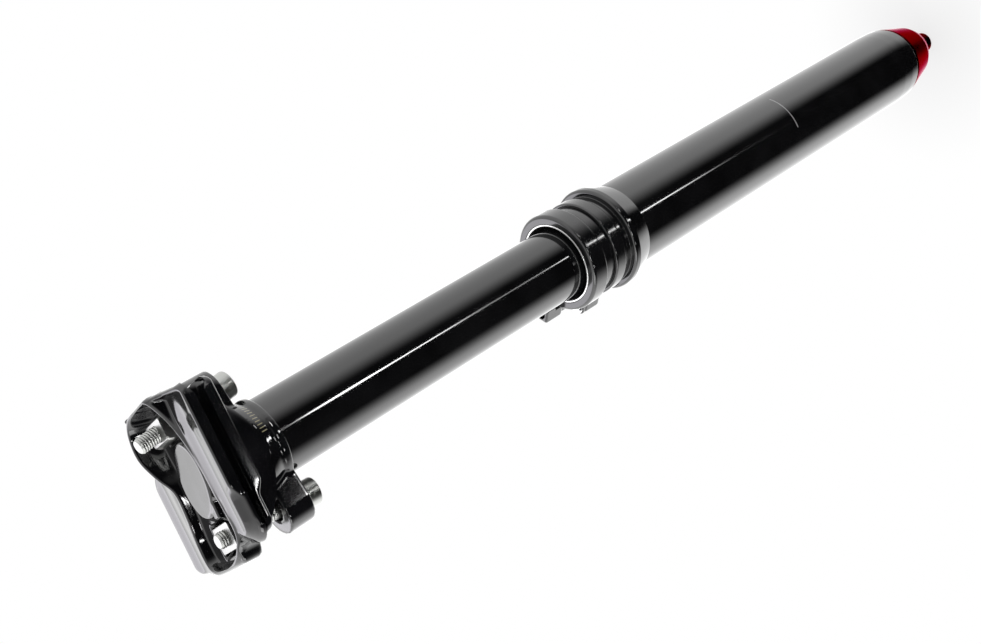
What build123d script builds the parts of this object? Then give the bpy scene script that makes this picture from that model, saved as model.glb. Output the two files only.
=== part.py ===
from build123d import *
import math
import os

os.makedirs("parts", exist_ok=True)

# Dropper seatpost: origin on the axis at the mast's lower end, +Z up, +X to the rear of the bicycle

# Driving dimensions, in millimetres and degrees
mast_diameter = 31.6
mast_wall = 1.8
mast_length = 187.0
shaft_diameter = 25.0
shaft_wall = 1.5
shaft_overlap = 45.0
drop_travel = 120.0
rail_diameter = 7.0
rail_spacing = 44.0
rail_grip_length = 48.8
clamp_lean = 6.0
release_azimuth = 125.0

# Shared clearances, all radial or face to face
sliding_fit = 0.05
bond_gap = 0.02
thread_gap = 0.05
open_gap = 0.4
cut_over = 1.0

mast_radius = mast_diameter / 2
mast_bore = mast_radius - mast_wall
shaft_radius = shaft_diameter / 2
shaft_bore = shaft_radius - shaft_wall
rail_radius = rail_diameter / 2


def save(piece, name):
    """Label a finished piece and write it to its own file."""
    piece.part.label = name
    export_step(piece.part, f"parts/{name}.step")


def around(azimuth, radius, height):
    """Point at an azimuth and a radius about the post's axis, at a height."""
    angle = math.radians(azimuth)
    return (radius * math.cos(angle), radius * math.sin(angle), height)


def radial_section(azimuth):
    """Plane through the post's axis whose sketches read radius across and height up."""
    angle = math.radians(azimuth)
    return Plane(
        origin=(0, 0, 0),
        x_dir=(math.cos(angle), math.sin(angle), 0),
        z_dir=(math.sin(angle), -math.cos(angle), 0),
    )


release_section = radial_section(release_azimuth)

# Collar stack above the mast's upper end
collar_socket_depth = 6.0
collar_tail_rise = 0.4
mast_seat_step = 0.3
flange_rise = 2.0
flange_radius = 18.8
flange_thickness = 2.5
collar_step_radius = 16.4
collar_step_height = 3.0
neck_radius = 15.3
neck_length = 12.5
seal_pocket_radius = 14.2
seal_pocket_depth = 4.0
seal_washer_height = 1.0

flange_base = mast_length + flange_rise
flange_top = flange_base + flange_thickness
neck_base = flange_top + collar_step_height
neck_top = neck_base + neck_length
mast_seat_base = mast_length - collar_socket_depth
mast_seat_radius = mast_radius - mast_seat_step
collar_bore = shaft_radius + open_gap

# Gland nut and the wiper in its mouth
skirt_radius = 16.0
gland_radius = 17.7
gland_height = 7.5
gland_skirt_height = 4.65
gland_edge = 0.8
mouth_radius = 14.6
wiper_foot_radius = 15.2
wiper_foot_height = 1.2
wiper_crown_gap = 0.9
wiper_lip_rise = 1.0
wiper_ring_width = 0.8

lever_ring_height = 5.25
gland_base = neck_base + thread_gap + lever_ring_height + sliding_fit
gland_step = gland_base + gland_skirt_height
gland_front = gland_step + gland_height
wiper_base = neck_top + sliding_fit
gland_shoulder = wiper_base + wiper_foot_height + sliding_fit

# Heights of the moving shaft at full extension
head_margin = 6.5
shaft_bottom = mast_length - shaft_overlap
shaft_top = gland_front + drop_travel + head_margin
spigot_length = 18.5
cartridge_inset = 2.0
cartridge_bottom = shaft_bottom + cartridge_inset
cartridge_top = shaft_top - spigot_length

# Bushings between the shaft and the mast
upper_bushing_length = 11.0
lower_bushing_length = 12.0
lower_bushing_inset = 2.0
bushing_split = 2.0
lower_bushing_base = shaft_bottom + lower_bushing_inset

# Anti-rotation keys, round bars in the shaft that run in the mast's keyways
key_radius = 1.5
key_circle = 13.0
key_length = 14.0
key_rise = 4.0
key_azimuths = (65.0, 185.0, 305.0)
keyway_gap = 0.1
keyway_run_out = 2.0
key_base = lower_bushing_base + lower_bushing_length + key_rise
keyway_base = key_base - drop_travel - keyway_run_out

# Release rod beside the shaft, in a groove of the mast's bore
rod_radius = 0.7
rod_circle = 13.6
rod_groove_gap = 0.1

# Bottom cap with its plug, cone and rocker cheeks
plug_height = 12.0
cap_rim_radius = 14.9
cap_rim_height = 1.6
cap_cone_radius = 11.3
cap_cone_height = 15.5
cap_face_radius = 9.5
cap_face_height = 19.1
cap_seal_wire = 0.9
cap_seal_height = 4.5
cap_seal_seat = 12.1
valve_pocket_radius = 5.0
valve_pocket_depth = 11.0
gas_passage_radius = 1.5
rod_seat_depth = 10.0

rocker_circle = 7.0
rocker_rise = 3.6
rocker_pin_radius = 0.75
rocker_bar_height = 1.4
rocker_hub_radius = 1.8
rocker_half_width = 1.2
rocker_toe_half_width = 0.6
rocker_arm_inset = 0.5
cheek_half_width = 3.0
cheek_half_length = 2.1
cheek_height = 6.2
rocker_height = plug_height + rocker_rise
rocker_top = rocker_height + rocker_bar_height / 2

# Charge valve and its cap below the bottom cap
valve_stem_radius = 2.9
valve_stem_length = 9.3
valve_bore = 1.0
valve_cap_radius = 4.4
valve_cap_length = 11.6
valve_cap_wall = 1.6
valve_cap_dimple = 1.6
valve_cap_dimple_depth = 0.6
valve_cap_edge = 0.8
valve_core_radius = 0.9
valve_core_length = 14.0

# Hollow piston rod, piston and valve pin of the gas spring
piston_rod_radius = 3.0
piston_rod_bore = 1.15
piston_spigot_radius = 2.4
cartridge_radius = 8.5
cartridge_bore = 7.5
cartridge_gland_inset = 0.5
cartridge_gland_height = 6.0
piston_stand_off = 1.5
piston_height = 8.0
piston_gap = 0.08
piston_groove_depth = 1.2
piston_groove_height = 2.4
pin_gap = 0.1
pin_head_radius = 2.2
pin_head_height = 1.5
window_half_width = 0.8
window_base_drop = 2.0
window_height = 5.0
floating_piston_stand_off = 125.0
floating_piston_height = 7.0
floating_seal_wire = 0.9
floating_dish_radius = 5.0
floating_dish_depth = 2.0
cartridge_cap_height = 7.5
cartridge_stud_radius = 3.0
cartridge_stud_length = 12.0
centring_ring_inset = 2.0
centring_ring_height = 4.0

cartridge_gland_base = cartridge_bottom + cartridge_gland_inset
piston_base = cartridge_gland_base + cartridge_gland_height + piston_stand_off
piston_top = piston_base + piston_height
pin_radius = piston_rod_bore - pin_gap
piston_radius = cartridge_bore - piston_gap
floating_piston_base = piston_top + floating_piston_stand_off

# Release lever on the lever ring, and the cable stop above it
lever_ring_radius = 17.2
lever_ring_edge = 0.4
lever_slot_half_width = 2.8
lever_half_width = 2.5
lever_blade_half_width = 1.0
lever_blade_slot = 1.4
lever_pivot_circle = 19.2
lever_pivot_rise = 4.0
lever_pin_radius = 1.5
lever_hub_radius = 2.2
lever_toe_circle = 13.1
lever_toe_drop = 2.25
lever_blade_height = 1.65
lever_nose_reach = 5.4
lever_nose_drop = 1.9
lever_nose_height = 2.8
cable_hole_radius = 0.8
cable_hole_reach = 3.2
anchor_screw_radius = 1.25
anchor_screw_length = 2.1
clevis_inner = 16.9
clevis_outer = 25.0
clevis_half_width = 6.5
clevis_rise = 0.5
clevis_height = 7.5
clevis_roof = 1.2
clevis_edge = 0.8
stop_foot_height = 1.6
stop_bar_inner = 18.6
stop_bar_outer = 21.8
stop_bar_half_width = 2.8
stop_head_inner = 17.95
stop_head_outer = 22.5
stop_head_half_width = 3.2
stop_head_height = 8.2
stop_head_lift = 5.0
stop_lip_inner = 16.7
stop_lip_rise = 0.4
stop_edge = 0.8
ferrule_radius = 2.15
ferrule_depth = 4.0
stop_hole_circle = 19.6
stop_screw_radius = 1.2
stop_screw_length = 6.5
stop_screw_head = 1.7
stop_screw_head_height = 1.5
stop_screw_circle = 23.0
stop_screw_offset = 4.6

lever_pivot_height = flange_top + lever_pivot_rise
clevis_base = flange_top + clevis_rise
clevis_top = clevis_base + clevis_height
stop_foot_inner = lever_ring_radius + bond_gap
stop_foot_top = clevis_top + stop_foot_height
stop_head_top = gland_front + stop_head_lift
toe_underside = lever_pivot_height - lever_toe_drop

# Saddle clamp: two rail jaws that tip on the head's concave saddle
tilt_axis_height = 30.2
rail_plane_drop = 8.3
cradle_radius = 24.0
saddle_gap = 0.05
saddle_half_width = 13.5
jaw_half_width = 25.3
jaw_gap = 0.8
upper_jaw_height = 4.8
lower_jaw_depth = 4.7
jaw_inner = 14.2
jaw_end_radius = 1.9
jaw_centre_drop = 1.5
jaw_centre_gap = 0.7

nose_taper = 0.7
nose_half_width = 9.4
nose_foot_half_width = 12.0
nose_height = 10.0
nose_corner = 6.0
nose_flat_start = 16.0
nose_edge = 1.6
waist_height = 5.2
waist_half_length = 4.0
pocket_half_width = 6.9
pocket_half_length = 6.2
pocket_corner = 3.0
recess_half_length = 12.5
recess_half_width = 7.6
recess_corner = 5.0
recess_floor = 3.2
pad_half_length = 10.6
pad_half_width = 5.6
pad_height = 0.8

# Two bolts with barrel nuts, and the spherical washers under their heads
nut_inset = 9.1
nut_rise = 5.8
nut_radius = 4.0
nut_length = 12.0
nut_seat_gap = 0.5
bolt_radius = 2.5
bolt_length = 28.5
bolt_head_radius = 4.25
bolt_head_height = 5.0
bolt_tip = 0.5
hex_across_flats = 4.0
hex_depth = 2.6
bolt_hole_gap = 0.8
clamp_slot_inward = 4.4
clamp_slot_outward = 6.2
cradle_slot_inward = 6.6
cradle_slot_outward = 6.6
washer_radius = 4.4
washer_sphere = 6.0
bolt_shaft_gap = 3.05
rear_bolt_splay = 2.0
front_bolt_splay = 2.4
rear_bolt_lift = 2.4
front_bolt_drop = 2.5

# Head of the shaft with its two ears
head_base_radius = 13.8
head_base_height = 2.6
head_base_edge = 0.7
yoke_half_length = 14.6
yoke_foot_half_length = 12.6
yoke_height = 12.0
ear_radius = 6.9
ear_thickness = 9.0
ear_root = 6.0

half_grip = rail_grip_length / 2
front_bolt_reach = shaft_radius + bolt_head_radius + bolt_shaft_gap
nut_reach = front_bolt_reach - front_bolt_splay
rear_bolt_reach = nut_reach + rear_bolt_splay
nose_half_length = nut_reach + nut_inset
nose_top_half_length = nose_half_length - nose_taper

tilt_axis = shaft_top + tilt_axis_height
front_bolt_height = shaft_top - front_bolt_drop
rear_bolt_height = shaft_top + rear_bolt_lift
ear_clearance = bolt_head_height / 2 + sliding_fit

lean = math.radians(clamp_lean)
clamp_x = Vector(math.cos(lean), 0, -math.sin(lean))
clamp_z = Vector(math.sin(lean), 0, math.cos(lean))
rail_centre = Vector(0, 0, tilt_axis) - clamp_z * rail_plane_drop
jaw_plan = Plane(origin=rail_centre, x_dir=clamp_x, z_dir=clamp_z)
jaw_side = Plane(origin=rail_centre, x_dir=clamp_x, z_dir=(0, -1, 0))
jaw_end = Plane(origin=rail_centre, x_dir=(0, 1, 0), z_dir=clamp_x)
jaw_face = jaw_gap / 2
bolt_hole_width = 2 * (bolt_radius + bolt_hole_gap)
half_spacing = rail_spacing / 2


def nut_centre(side):
    """Centre of the barrel nut on one side, +1 to the rear and -1 to the front."""
    return rail_centre + clamp_x * (side * nut_reach) + clamp_z * nut_rise


def bolt_seat(side):
    """Centre of the spherical washer's ball, inside the bolt's head."""
    if side > 0:
        return Vector(rear_bolt_reach, 0, rear_bolt_height)
    return Vector(-front_bolt_reach, 0, front_bolt_height)


def bolt_plane(side):
    """Plane at the washer's ball whose normal runs up the bolt to its nut."""
    run = (nut_centre(side) - bolt_seat(side)).normalized()
    return Plane(origin=bolt_seat(side), x_dir=(0, 1, 0), z_dir=run)


# Mast tube with its keyways, the release rod's groove and the collar's seat turned on its end
with BuildPart() as mast_tube:
    with BuildSketch():
        Circle(mast_radius)
        Circle(mast_bore, mode=Mode.SUBTRACT)
    extrude(amount=mast_length)
    with BuildSketch(Plane.XY.offset(keyway_base)):
        for azimuth in key_azimuths:
            with Locations(around(azimuth, key_circle, 0)[:2]):
                Circle(key_radius + keyway_gap)
    extrude(amount=mast_length, mode=Mode.SUBTRACT)
    with BuildSketch(Plane.XY.offset(plug_height)):
        with Locations(around(release_azimuth, rod_circle, 0)[:2]):
            Circle(rod_radius + rod_groove_gap)
    extrude(amount=mast_length, mode=Mode.SUBTRACT)
    with BuildSketch(Plane.XY.offset(mast_seat_base)):
        Circle(mast_radius + cut_over)
        Circle(mast_seat_radius, mode=Mode.SUBTRACT)
    extrude(amount=collar_socket_depth + cut_over, mode=Mode.SUBTRACT)
save(mast_tube, "mast_tube")

# Bottom cap: threaded plug, rim, cone and the two cheeks that carry the rocker
rod_seat_base = plug_height - rod_seat_depth
with BuildPart() as bottom_cap:
    with BuildSketch(Plane.XZ):
        with BuildLine():
            Polyline(
                (0, plug_height),
                (mast_bore - sliding_fit, plug_height),
                (mast_bore - sliding_fit, 0),
                (cap_rim_radius, 0),
                (cap_rim_radius, -cap_rim_height),
                (cap_cone_radius, -cap_cone_height),
                (cap_face_radius, -cap_face_height),
                (0, -cap_face_height),
                close=True,
            )
        make_face()
    revolve(axis=Axis.Z)
    with BuildSketch(release_section):
        with Locations((rocker_circle, plug_height + cheek_height / 2)):
            Rectangle(2 * cheek_half_length, cheek_height)
    extrude(amount=cheek_half_width, both=True)
    with BuildSketch(release_section):
        with Locations((rocker_circle, rocker_height)):
            Circle(rocker_pin_radius + bond_gap)
    extrude(amount=cheek_half_width + cut_over, both=True, mode=Mode.SUBTRACT)
    with BuildSketch(release_section):
        with Locations((rocker_circle, plug_height + cheek_height / 2)):
            Rectangle(2 * (cheek_half_length + cut_over), cheek_height)
    extrude(amount=rocker_half_width + pin_gap, both=True, mode=Mode.SUBTRACT)
    with BuildSketch(Plane.XY.offset(rod_seat_base)):
        Circle(piston_rod_radius + bond_gap)
    extrude(amount=rod_seat_depth + cut_over, mode=Mode.SUBTRACT)
    with BuildSketch(Plane.XY.offset(-cap_face_height)):
        Circle(gas_passage_radius)
    extrude(amount=cap_face_height + plug_height, mode=Mode.SUBTRACT)
    with BuildSketch(Plane.XY.offset(-cap_face_height)):
        Circle(valve_pocket_radius)
    extrude(amount=valve_pocket_depth, mode=Mode.SUBTRACT)
    with BuildSketch(Plane.XY.offset(cap_seal_height - cap_seal_wire)):
        Circle(mast_radius)
        Circle(cap_seal_seat, mode=Mode.SUBTRACT)
    extrude(amount=2 * cap_seal_wire, mode=Mode.SUBTRACT)
save(bottom_cap, "bottom_cap")

# Seal of the bottom cap in its groove
with BuildPart() as cap_o_ring:
    with BuildSketch(Plane.XZ):
        with Locations((cap_seal_seat + cap_seal_wire, cap_seal_height)):
            Circle(cap_seal_wire - bond_gap)
    revolve(axis=Axis.Z)
save(cap_o_ring, "cap_o_ring")

# Charge valve screwed into the bottom cap's pocket
with BuildPart() as charge_valve:
    with BuildSketch(Plane.XY.offset(-cap_face_height)):
        Circle(valve_pocket_radius - thread_gap)
    extrude(amount=valve_pocket_depth - bond_gap)
    with BuildSketch(Plane.XY.offset(-cap_face_height - valve_stem_length)):
        Circle(valve_stem_radius)
    extrude(amount=valve_stem_length)
    with BuildSketch(Plane.XY.offset(-cap_face_height - valve_stem_length)):
        Circle(valve_bore)
    extrude(amount=valve_stem_length + valve_pocket_depth, mode=Mode.SUBTRACT)
save(charge_valve, "charge_valve")

# Valve core inside the charge valve
with BuildPart() as valve_core:
    with BuildSketch(Plane.XY.offset(-cap_face_height - valve_stem_length + open_gap)):
        Circle(valve_core_radius)
    extrude(amount=valve_core_length)
save(valve_core, "valve_core")

# Valve cap, closed at its end with a shallow dimple
with BuildPart() as valve_cap:
    with BuildSketch(Plane.XY.offset(-cap_face_height - bond_gap - valve_cap_length)):
        Circle(valve_cap_radius)
    extrude(amount=valve_cap_length)
    chamfer(valve_cap.faces().sort_by(Axis.Z)[0].edges(), valve_cap_edge)
    with BuildSketch(Plane.XY.offset(-cap_face_height - bond_gap - valve_cap_length + valve_cap_wall)):
        Circle(valve_stem_radius + thread_gap)
    extrude(amount=valve_cap_length, mode=Mode.SUBTRACT)
    with BuildSketch(Plane.XY.offset(-cap_face_height - bond_gap - valve_cap_length)):
        Circle(valve_cap_dimple)
    extrude(amount=valve_cap_dimple_depth, mode=Mode.SUBTRACT)
save(valve_cap, "valve_cap")

# Hollow piston rod with the window where the rocker's toe enters
with BuildPart() as piston_rod:
    with BuildSketch(Plane.XY.offset(rod_seat_base)):
        Circle(piston_rod_radius)
    extrude(amount=piston_base - rod_seat_base)
    with BuildSketch(Plane.XY.offset(piston_base)):
        Circle(piston_spigot_radius)
    extrude(amount=piston_height)
    with BuildSketch(Plane.XY.offset(rod_seat_base)):
        Circle(piston_rod_bore)
    extrude(amount=piston_top - rod_seat_base, mode=Mode.SUBTRACT)
    with BuildSketch(release_section):
        with Locations((piston_rod_radius / 2, rocker_height - window_base_drop + window_height / 2)):
            Rectangle(piston_rod_radius + pin_gap, window_height)
    extrude(amount=window_half_width, both=True, mode=Mode.SUBTRACT)
save(piston_rod, "piston_rod")

# Piston on the rod's upper end
piston_groove_base = piston_base + (piston_height - piston_groove_height) / 2
with BuildPart() as piston:
    with BuildSketch(Plane.XY.offset(piston_base)):
        Circle(piston_radius)
        Circle(piston_spigot_radius + bond_gap, mode=Mode.SUBTRACT)
    extrude(amount=piston_height)
    with BuildSketch(Plane.XY.offset(piston_groove_base)):
        Circle(cartridge_radius)
        Circle(piston_radius - piston_groove_depth, mode=Mode.SUBTRACT)
    extrude(amount=piston_groove_height, mode=Mode.SUBTRACT)
save(piston, "piston")

# Seal band in the piston's groove
with BuildPart() as piston_seal:
    with BuildSketch(Plane.XY.offset(piston_groove_base + bond_gap)):
        Circle(cartridge_bore - sliding_fit)
        Circle(piston_radius - piston_groove_depth + bond_gap, mode=Mode.SUBTRACT)
    extrude(amount=piston_groove_height - 2 * bond_gap)
save(piston_seal, "piston_seal")

# Valve pin inside the rod, with the valve head above the piston
with BuildPart() as valve_pin:
    with BuildSketch(Plane.XY.offset(rocker_top + bond_gap)):
        Circle(pin_radius)
    extrude(amount=piston_top - rocker_top)
    with BuildSketch(Plane.XY.offset(piston_top + bond_gap)):
        Circle(pin_head_radius)
    extrude(amount=pin_head_height)
save(valve_pin, "valve_pin")

# Rocker that turns the rod's push into the valve pin's lift
rocker_inner = pin_radius / 2
rocker_outer = rod_circle - open_gap / 2
rocker_arm_inner = piston_rod_radius + rocker_arm_inset
with BuildPart() as valve_rocker:
    with BuildSketch(release_section):
        with Locations(((rocker_inner + rocker_outer) / 2, rocker_height)):
            Rectangle(rocker_outer - rocker_inner, rocker_bar_height)
    extrude(amount=rocker_toe_half_width, both=True)
    with BuildSketch(release_section):
        with Locations(((rocker_arm_inner + rocker_outer) / 2, rocker_height)):
            Rectangle(rocker_outer - rocker_arm_inner, rocker_bar_height)
        with Locations((rocker_circle, rocker_height)):
            Circle(rocker_hub_radius)
    extrude(amount=rocker_half_width, both=True)
    with BuildSketch(release_section):
        with Locations((rocker_circle, rocker_height)):
            Circle(rocker_pin_radius + sliding_fit)
    extrude(amount=rocker_half_width + cut_over, both=True, mode=Mode.SUBTRACT)
save(valve_rocker, "valve_rocker")

with BuildPart() as rocker_pin:
    with BuildSketch(release_section):
        with Locations((rocker_circle, rocker_height)):
            Circle(rocker_pin_radius)
    extrude(amount=cheek_half_width, both=True)
save(rocker_pin, "rocker_pin")

# Release rod from the lever's toe down to the rocker
with BuildPart() as actuator_rod:
    with BuildSketch(Plane.XY.offset(rocker_top + bond_gap)):
        with Locations(around(release_azimuth, rod_circle, 0)[:2]):
            Circle(rod_radius)
    extrude(amount=toe_underside - rocker_top - 2 * bond_gap)
save(actuator_rod, "actuator_rod")

# Upper bushing, split where the release rod passes
with BuildPart() as upper_bushing:
    with BuildSketch(Plane.XY.offset(mast_length - upper_bushing_length)):
        Circle(mast_bore - bond_gap)
        Circle(shaft_radius + sliding_fit, mode=Mode.SUBTRACT)
    extrude(amount=upper_bushing_length - bond_gap)
    with BuildSketch(release_section):
        with Locations((rod_circle, mast_length - upper_bushing_length / 2)):
            Rectangle(2 * mast_wall + cut_over, upper_bushing_length + cut_over)
    extrude(amount=bushing_split / 2, both=True, mode=Mode.SUBTRACT)
save(upper_bushing, "upper_bushing")

# Collar body on the mast's upper end
with BuildPart() as collar_body:
    with BuildSketch(Plane.XZ):
        with BuildLine():
            Polyline(
                (mast_seat_radius + bond_gap, mast_seat_base + bond_gap),
                (mast_radius + collar_tail_rise, mast_seat_base + bond_gap),
                (flange_radius, flange_base),
                (flange_radius, flange_top),
                (collar_step_radius, flange_top),
                (collar_step_radius, neck_base),
                (neck_radius, neck_base),
                (neck_radius, neck_top),
                (seal_pocket_radius, neck_top),
                (seal_pocket_radius, neck_top - seal_pocket_depth),
                (collar_bore, neck_top - seal_pocket_depth),
                (collar_bore, mast_length + bond_gap),
                (mast_seat_radius + bond_gap, mast_length + bond_gap),
                close=True,
            )
        make_face()
    revolve(axis=Axis.Z)
    with BuildSketch(Plane.XY.offset(mast_length)):
        with Locations(around(release_azimuth, rod_circle, 0)[:2]):
            Circle(rod_radius + rod_groove_gap)
    extrude(amount=flange_top - mast_length + cut_over, mode=Mode.SUBTRACT)
    with BuildSketch(release_section):
        with Locations((collar_step_radius, flange_top + lever_pivot_rise / 2)):
            Rectangle(2 * (collar_step_radius - shaft_radius), lever_pivot_rise)
    extrude(amount=lever_blade_slot, both=True, mode=Mode.SUBTRACT)
save(collar_body, "collar_body")

# Backing washer and O-ring that seal the shaft in the collar's pocket
seal_floor = neck_top - seal_pocket_depth
shaft_seal_wire = (seal_pocket_radius - shaft_radius - 2 * sliding_fit) / 2
with BuildPart() as seal_washer:
    with BuildSketch(Plane.XY.offset(seal_floor + bond_gap)):
        Circle(seal_pocket_radius - sliding_fit)
        Circle(shaft_radius + open_gap / 2, mode=Mode.SUBTRACT)
    extrude(amount=seal_washer_height)
save(seal_washer, "seal_washer")

with BuildPart() as shaft_o_ring:
    with BuildSketch(Plane.XZ):
        with Locations((
            shaft_radius + sliding_fit + shaft_seal_wire,
            seal_floor + seal_washer_height + shaft_seal_wire + 2 * bond_gap,
        )):
            Circle(shaft_seal_wire)
    revolve(axis=Axis.Z)
save(shaft_o_ring, "shaft_o_ring")

# Lever ring with the clevis of the release lever
with BuildPart() as lever_ring:
    with BuildSketch(Plane.XY.offset(neck_base + thread_gap)):
        Circle(lever_ring_radius)
    extrude(amount=lever_ring_height)
    chamfer(lever_ring.edges().filter_by(GeomType.CIRCLE), lever_ring_edge)
    with BuildSketch(release_section):
        with Locations(((clevis_inner + clevis_outer) / 2, clevis_base + clevis_height / 2)):
            RectangleRounded(clevis_outer - clevis_inner, clevis_height, clevis_edge)
    extrude(amount=clevis_half_width, both=True)
    with BuildSketch(Plane.XY.offset(neck_base)):
        Circle(neck_radius + thread_gap)
    extrude(amount=clevis_height, mode=Mode.SUBTRACT)
    with BuildSketch(release_section):
        with Locations((
            (neck_radius + clevis_outer + cut_over) / 2,
            (clevis_base + clevis_top - clevis_roof - cut_over) / 2,
        )):
            Rectangle(clevis_outer + cut_over - neck_radius, clevis_height - clevis_roof + cut_over)
    extrude(amount=lever_slot_half_width, both=True, mode=Mode.SUBTRACT)
    with BuildSketch(release_section):
        with Locations((lever_pivot_circle, lever_pivot_height)):
            Circle(lever_pin_radius + bond_gap)
    extrude(amount=clevis_half_width + cut_over, both=True, mode=Mode.SUBTRACT)
    with BuildSketch(release_section):
        with Locations((stop_hole_circle, clevis_top)):
            Rectangle(2 * cable_hole_reach, 2 * clevis_roof + cut_over)
    extrude(amount=cable_hole_radius, both=True, mode=Mode.SUBTRACT)
    with BuildSketch(Plane(origin=around(release_azimuth, stop_screw_circle, clevis_top),
                           x_dir=release_section.x_dir, z_dir=(0, 0, 1))):
        with Locations((0, stop_screw_offset), (0, -stop_screw_offset)):
            Circle(stop_screw_radius + bond_gap)
    extrude(amount=-stop_screw_length, mode=Mode.SUBTRACT)
save(lever_ring, "lever_ring")

# Cable stop bolted on the clevis, with the ferrule seat in its head
with BuildPart() as cable_stop:
    with BuildSketch(release_section):
        with Locations(((stop_foot_inner + clevis_outer) / 2, clevis_top + stop_foot_height / 2)):
            Rectangle(clevis_outer - stop_foot_inner, stop_foot_height)
    extrude(amount=clevis_half_width, both=True)
    with BuildSketch(release_section):
        with Locations(((stop_bar_inner + stop_bar_outer) / 2, (stop_foot_top + stop_head_top) / 2)):
            Rectangle(stop_bar_outer - stop_bar_inner, stop_head_top - stop_foot_top)
    extrude(amount=stop_bar_half_width, both=True)
    with BuildSketch(release_section):
        with Locations(((stop_head_inner + stop_head_outer) / 2, stop_head_top - stop_head_height / 2)):
            RectangleRounded(stop_head_outer - stop_head_inner, stop_head_height, stop_edge)
    extrude(amount=stop_head_half_width, both=True)
    with BuildSketch(release_section):
        with Locations(((stop_lip_inner + stop_bar_outer) / 2, (gland_front + stop_lip_rise + stop_head_top) / 2)):
            Rectangle(stop_bar_outer - stop_lip_inner, stop_head_top - gland_front - stop_lip_rise)
    extrude(amount=stop_head_half_width, both=True)
    with BuildSketch(Plane.XY.offset(clevis_top)):
        with Locations(around(release_azimuth, stop_hole_circle, 0)[:2]):
            Circle(cable_hole_radius)
    extrude(amount=stop_head_top, mode=Mode.SUBTRACT)
    with BuildSketch(Plane.XY.offset(stop_head_top)):
        with Locations(around(release_azimuth, stop_hole_circle, 0)[:2]):
            Circle(ferrule_radius)
    extrude(amount=-ferrule_depth, mode=Mode.SUBTRACT)
    with BuildSketch(Plane(origin=around(release_azimuth, stop_screw_circle, stop_foot_top),
                           x_dir=release_section.x_dir, z_dir=(0, 0, 1))):
        with Locations((0, stop_screw_offset), (0, -stop_screw_offset)):
            Circle(stop_screw_radius + bond_gap)
    extrude(amount=-stop_foot_height, mode=Mode.SUBTRACT)
save(cable_stop, "cable_stop")

with BuildPart() as stop_screws:
    with BuildSketch(Plane(origin=around(release_azimuth, stop_screw_circle, stop_foot_top),
                           x_dir=release_section.x_dir, z_dir=(0, 0, 1))):
        with Locations((0, stop_screw_offset), (0, -stop_screw_offset)):
            Circle(stop_screw_radius)
    extrude(amount=-stop_screw_length)
    with BuildSketch(Plane(origin=around(release_azimuth, stop_screw_circle, stop_foot_top),
                           x_dir=release_section.x_dir, z_dir=(0, 0, 1))):
        with Locations((0, stop_screw_offset), (0, -stop_screw_offset)):
            Circle(stop_screw_head)
    extrude(amount=stop_screw_head_height)
save(stop_screws, "stop_screws")

with BuildPart() as lever_pin:
    with BuildSketch(release_section):
        with Locations((lever_pivot_circle, lever_pivot_height)):
            Circle(lever_pin_radius)
    extrude(amount=clevis_half_width - bond_gap, both=True)
save(lever_pin, "lever_pin")

# Release lever: blade to the rod, hub on the pin and nose for the cable
nose_outer = lever_pivot_circle + lever_nose_reach
nose_middle = lever_pivot_height - lever_nose_drop + lever_nose_height / 2
cable_circle = lever_pivot_circle + cable_hole_reach
with BuildPart() as release_lever:
    with BuildSketch(release_section):
        with Locations(((lever_toe_circle + lever_pivot_circle) / 2, toe_underside + lever_blade_height / 2)):
            Rectangle(lever_pivot_circle - lever_toe_circle, lever_blade_height)
    extrude(amount=lever_blade_half_width, both=True)
    with BuildSketch(release_section):
        with Locations((lever_pivot_circle, lever_pivot_height)):
            Circle(lever_hub_radius)
        with Locations(((lever_pivot_circle + nose_outer) / 2, nose_middle)):
            Rectangle(lever_nose_reach, lever_nose_height)
    extrude(amount=lever_half_width, both=True)
    with BuildSketch(release_section):
        with Locations((lever_pivot_circle, lever_pivot_height)):
            Circle(lever_pin_radius + sliding_fit)
    extrude(amount=lever_half_width + cut_over, both=True, mode=Mode.SUBTRACT)
    with BuildSketch(Plane.XY.offset(nose_middle)):
        with Locations(around(release_azimuth, cable_circle, 0)[:2]):
            Circle(cable_hole_radius)
    extrude(amount=lever_nose_height, both=True, mode=Mode.SUBTRACT)
    with BuildSketch(Plane(origin=around(release_azimuth, nose_outer, nose_middle), x_dir=(0, 0, 1),
                           z_dir=release_section.x_dir)):
        Circle(anchor_screw_radius + bond_gap)
    extrude(amount=cable_circle - nose_outer, mode=Mode.SUBTRACT)
save(release_lever, "release_lever")

with BuildPart() as cable_anchor_screw:
    with BuildSketch(Plane(origin=around(release_azimuth, cable_circle + cable_hole_radius, nose_middle),
                           x_dir=(0, 0, 1), z_dir=release_section.x_dir)):
        Circle(anchor_screw_radius)
    extrude(amount=anchor_screw_length - cable_hole_radius)
save(cable_anchor_screw, "cable_anchor_screw")

# Gland nut on the collar's neck
with BuildPart() as gland_nut:
    with BuildSketch(Plane.XZ):
        with BuildLine():
            Polyline(
                (neck_radius + thread_gap, gland_base),
                (skirt_radius, gland_base),
                (skirt_radius, gland_step),
                (gland_radius - gland_edge, gland_step),
                (gland_radius, gland_step + gland_edge),
                (gland_radius, gland_front - gland_edge),
                (gland_radius - gland_edge, gland_front),
                (mouth_radius, gland_front),
                (mouth_radius, gland_shoulder),
                (neck_radius + thread_gap, gland_shoulder),
                close=True,
            )
        make_face()
    revolve(axis=Axis.Z)
save(gland_nut, "gland_nut")

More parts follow.
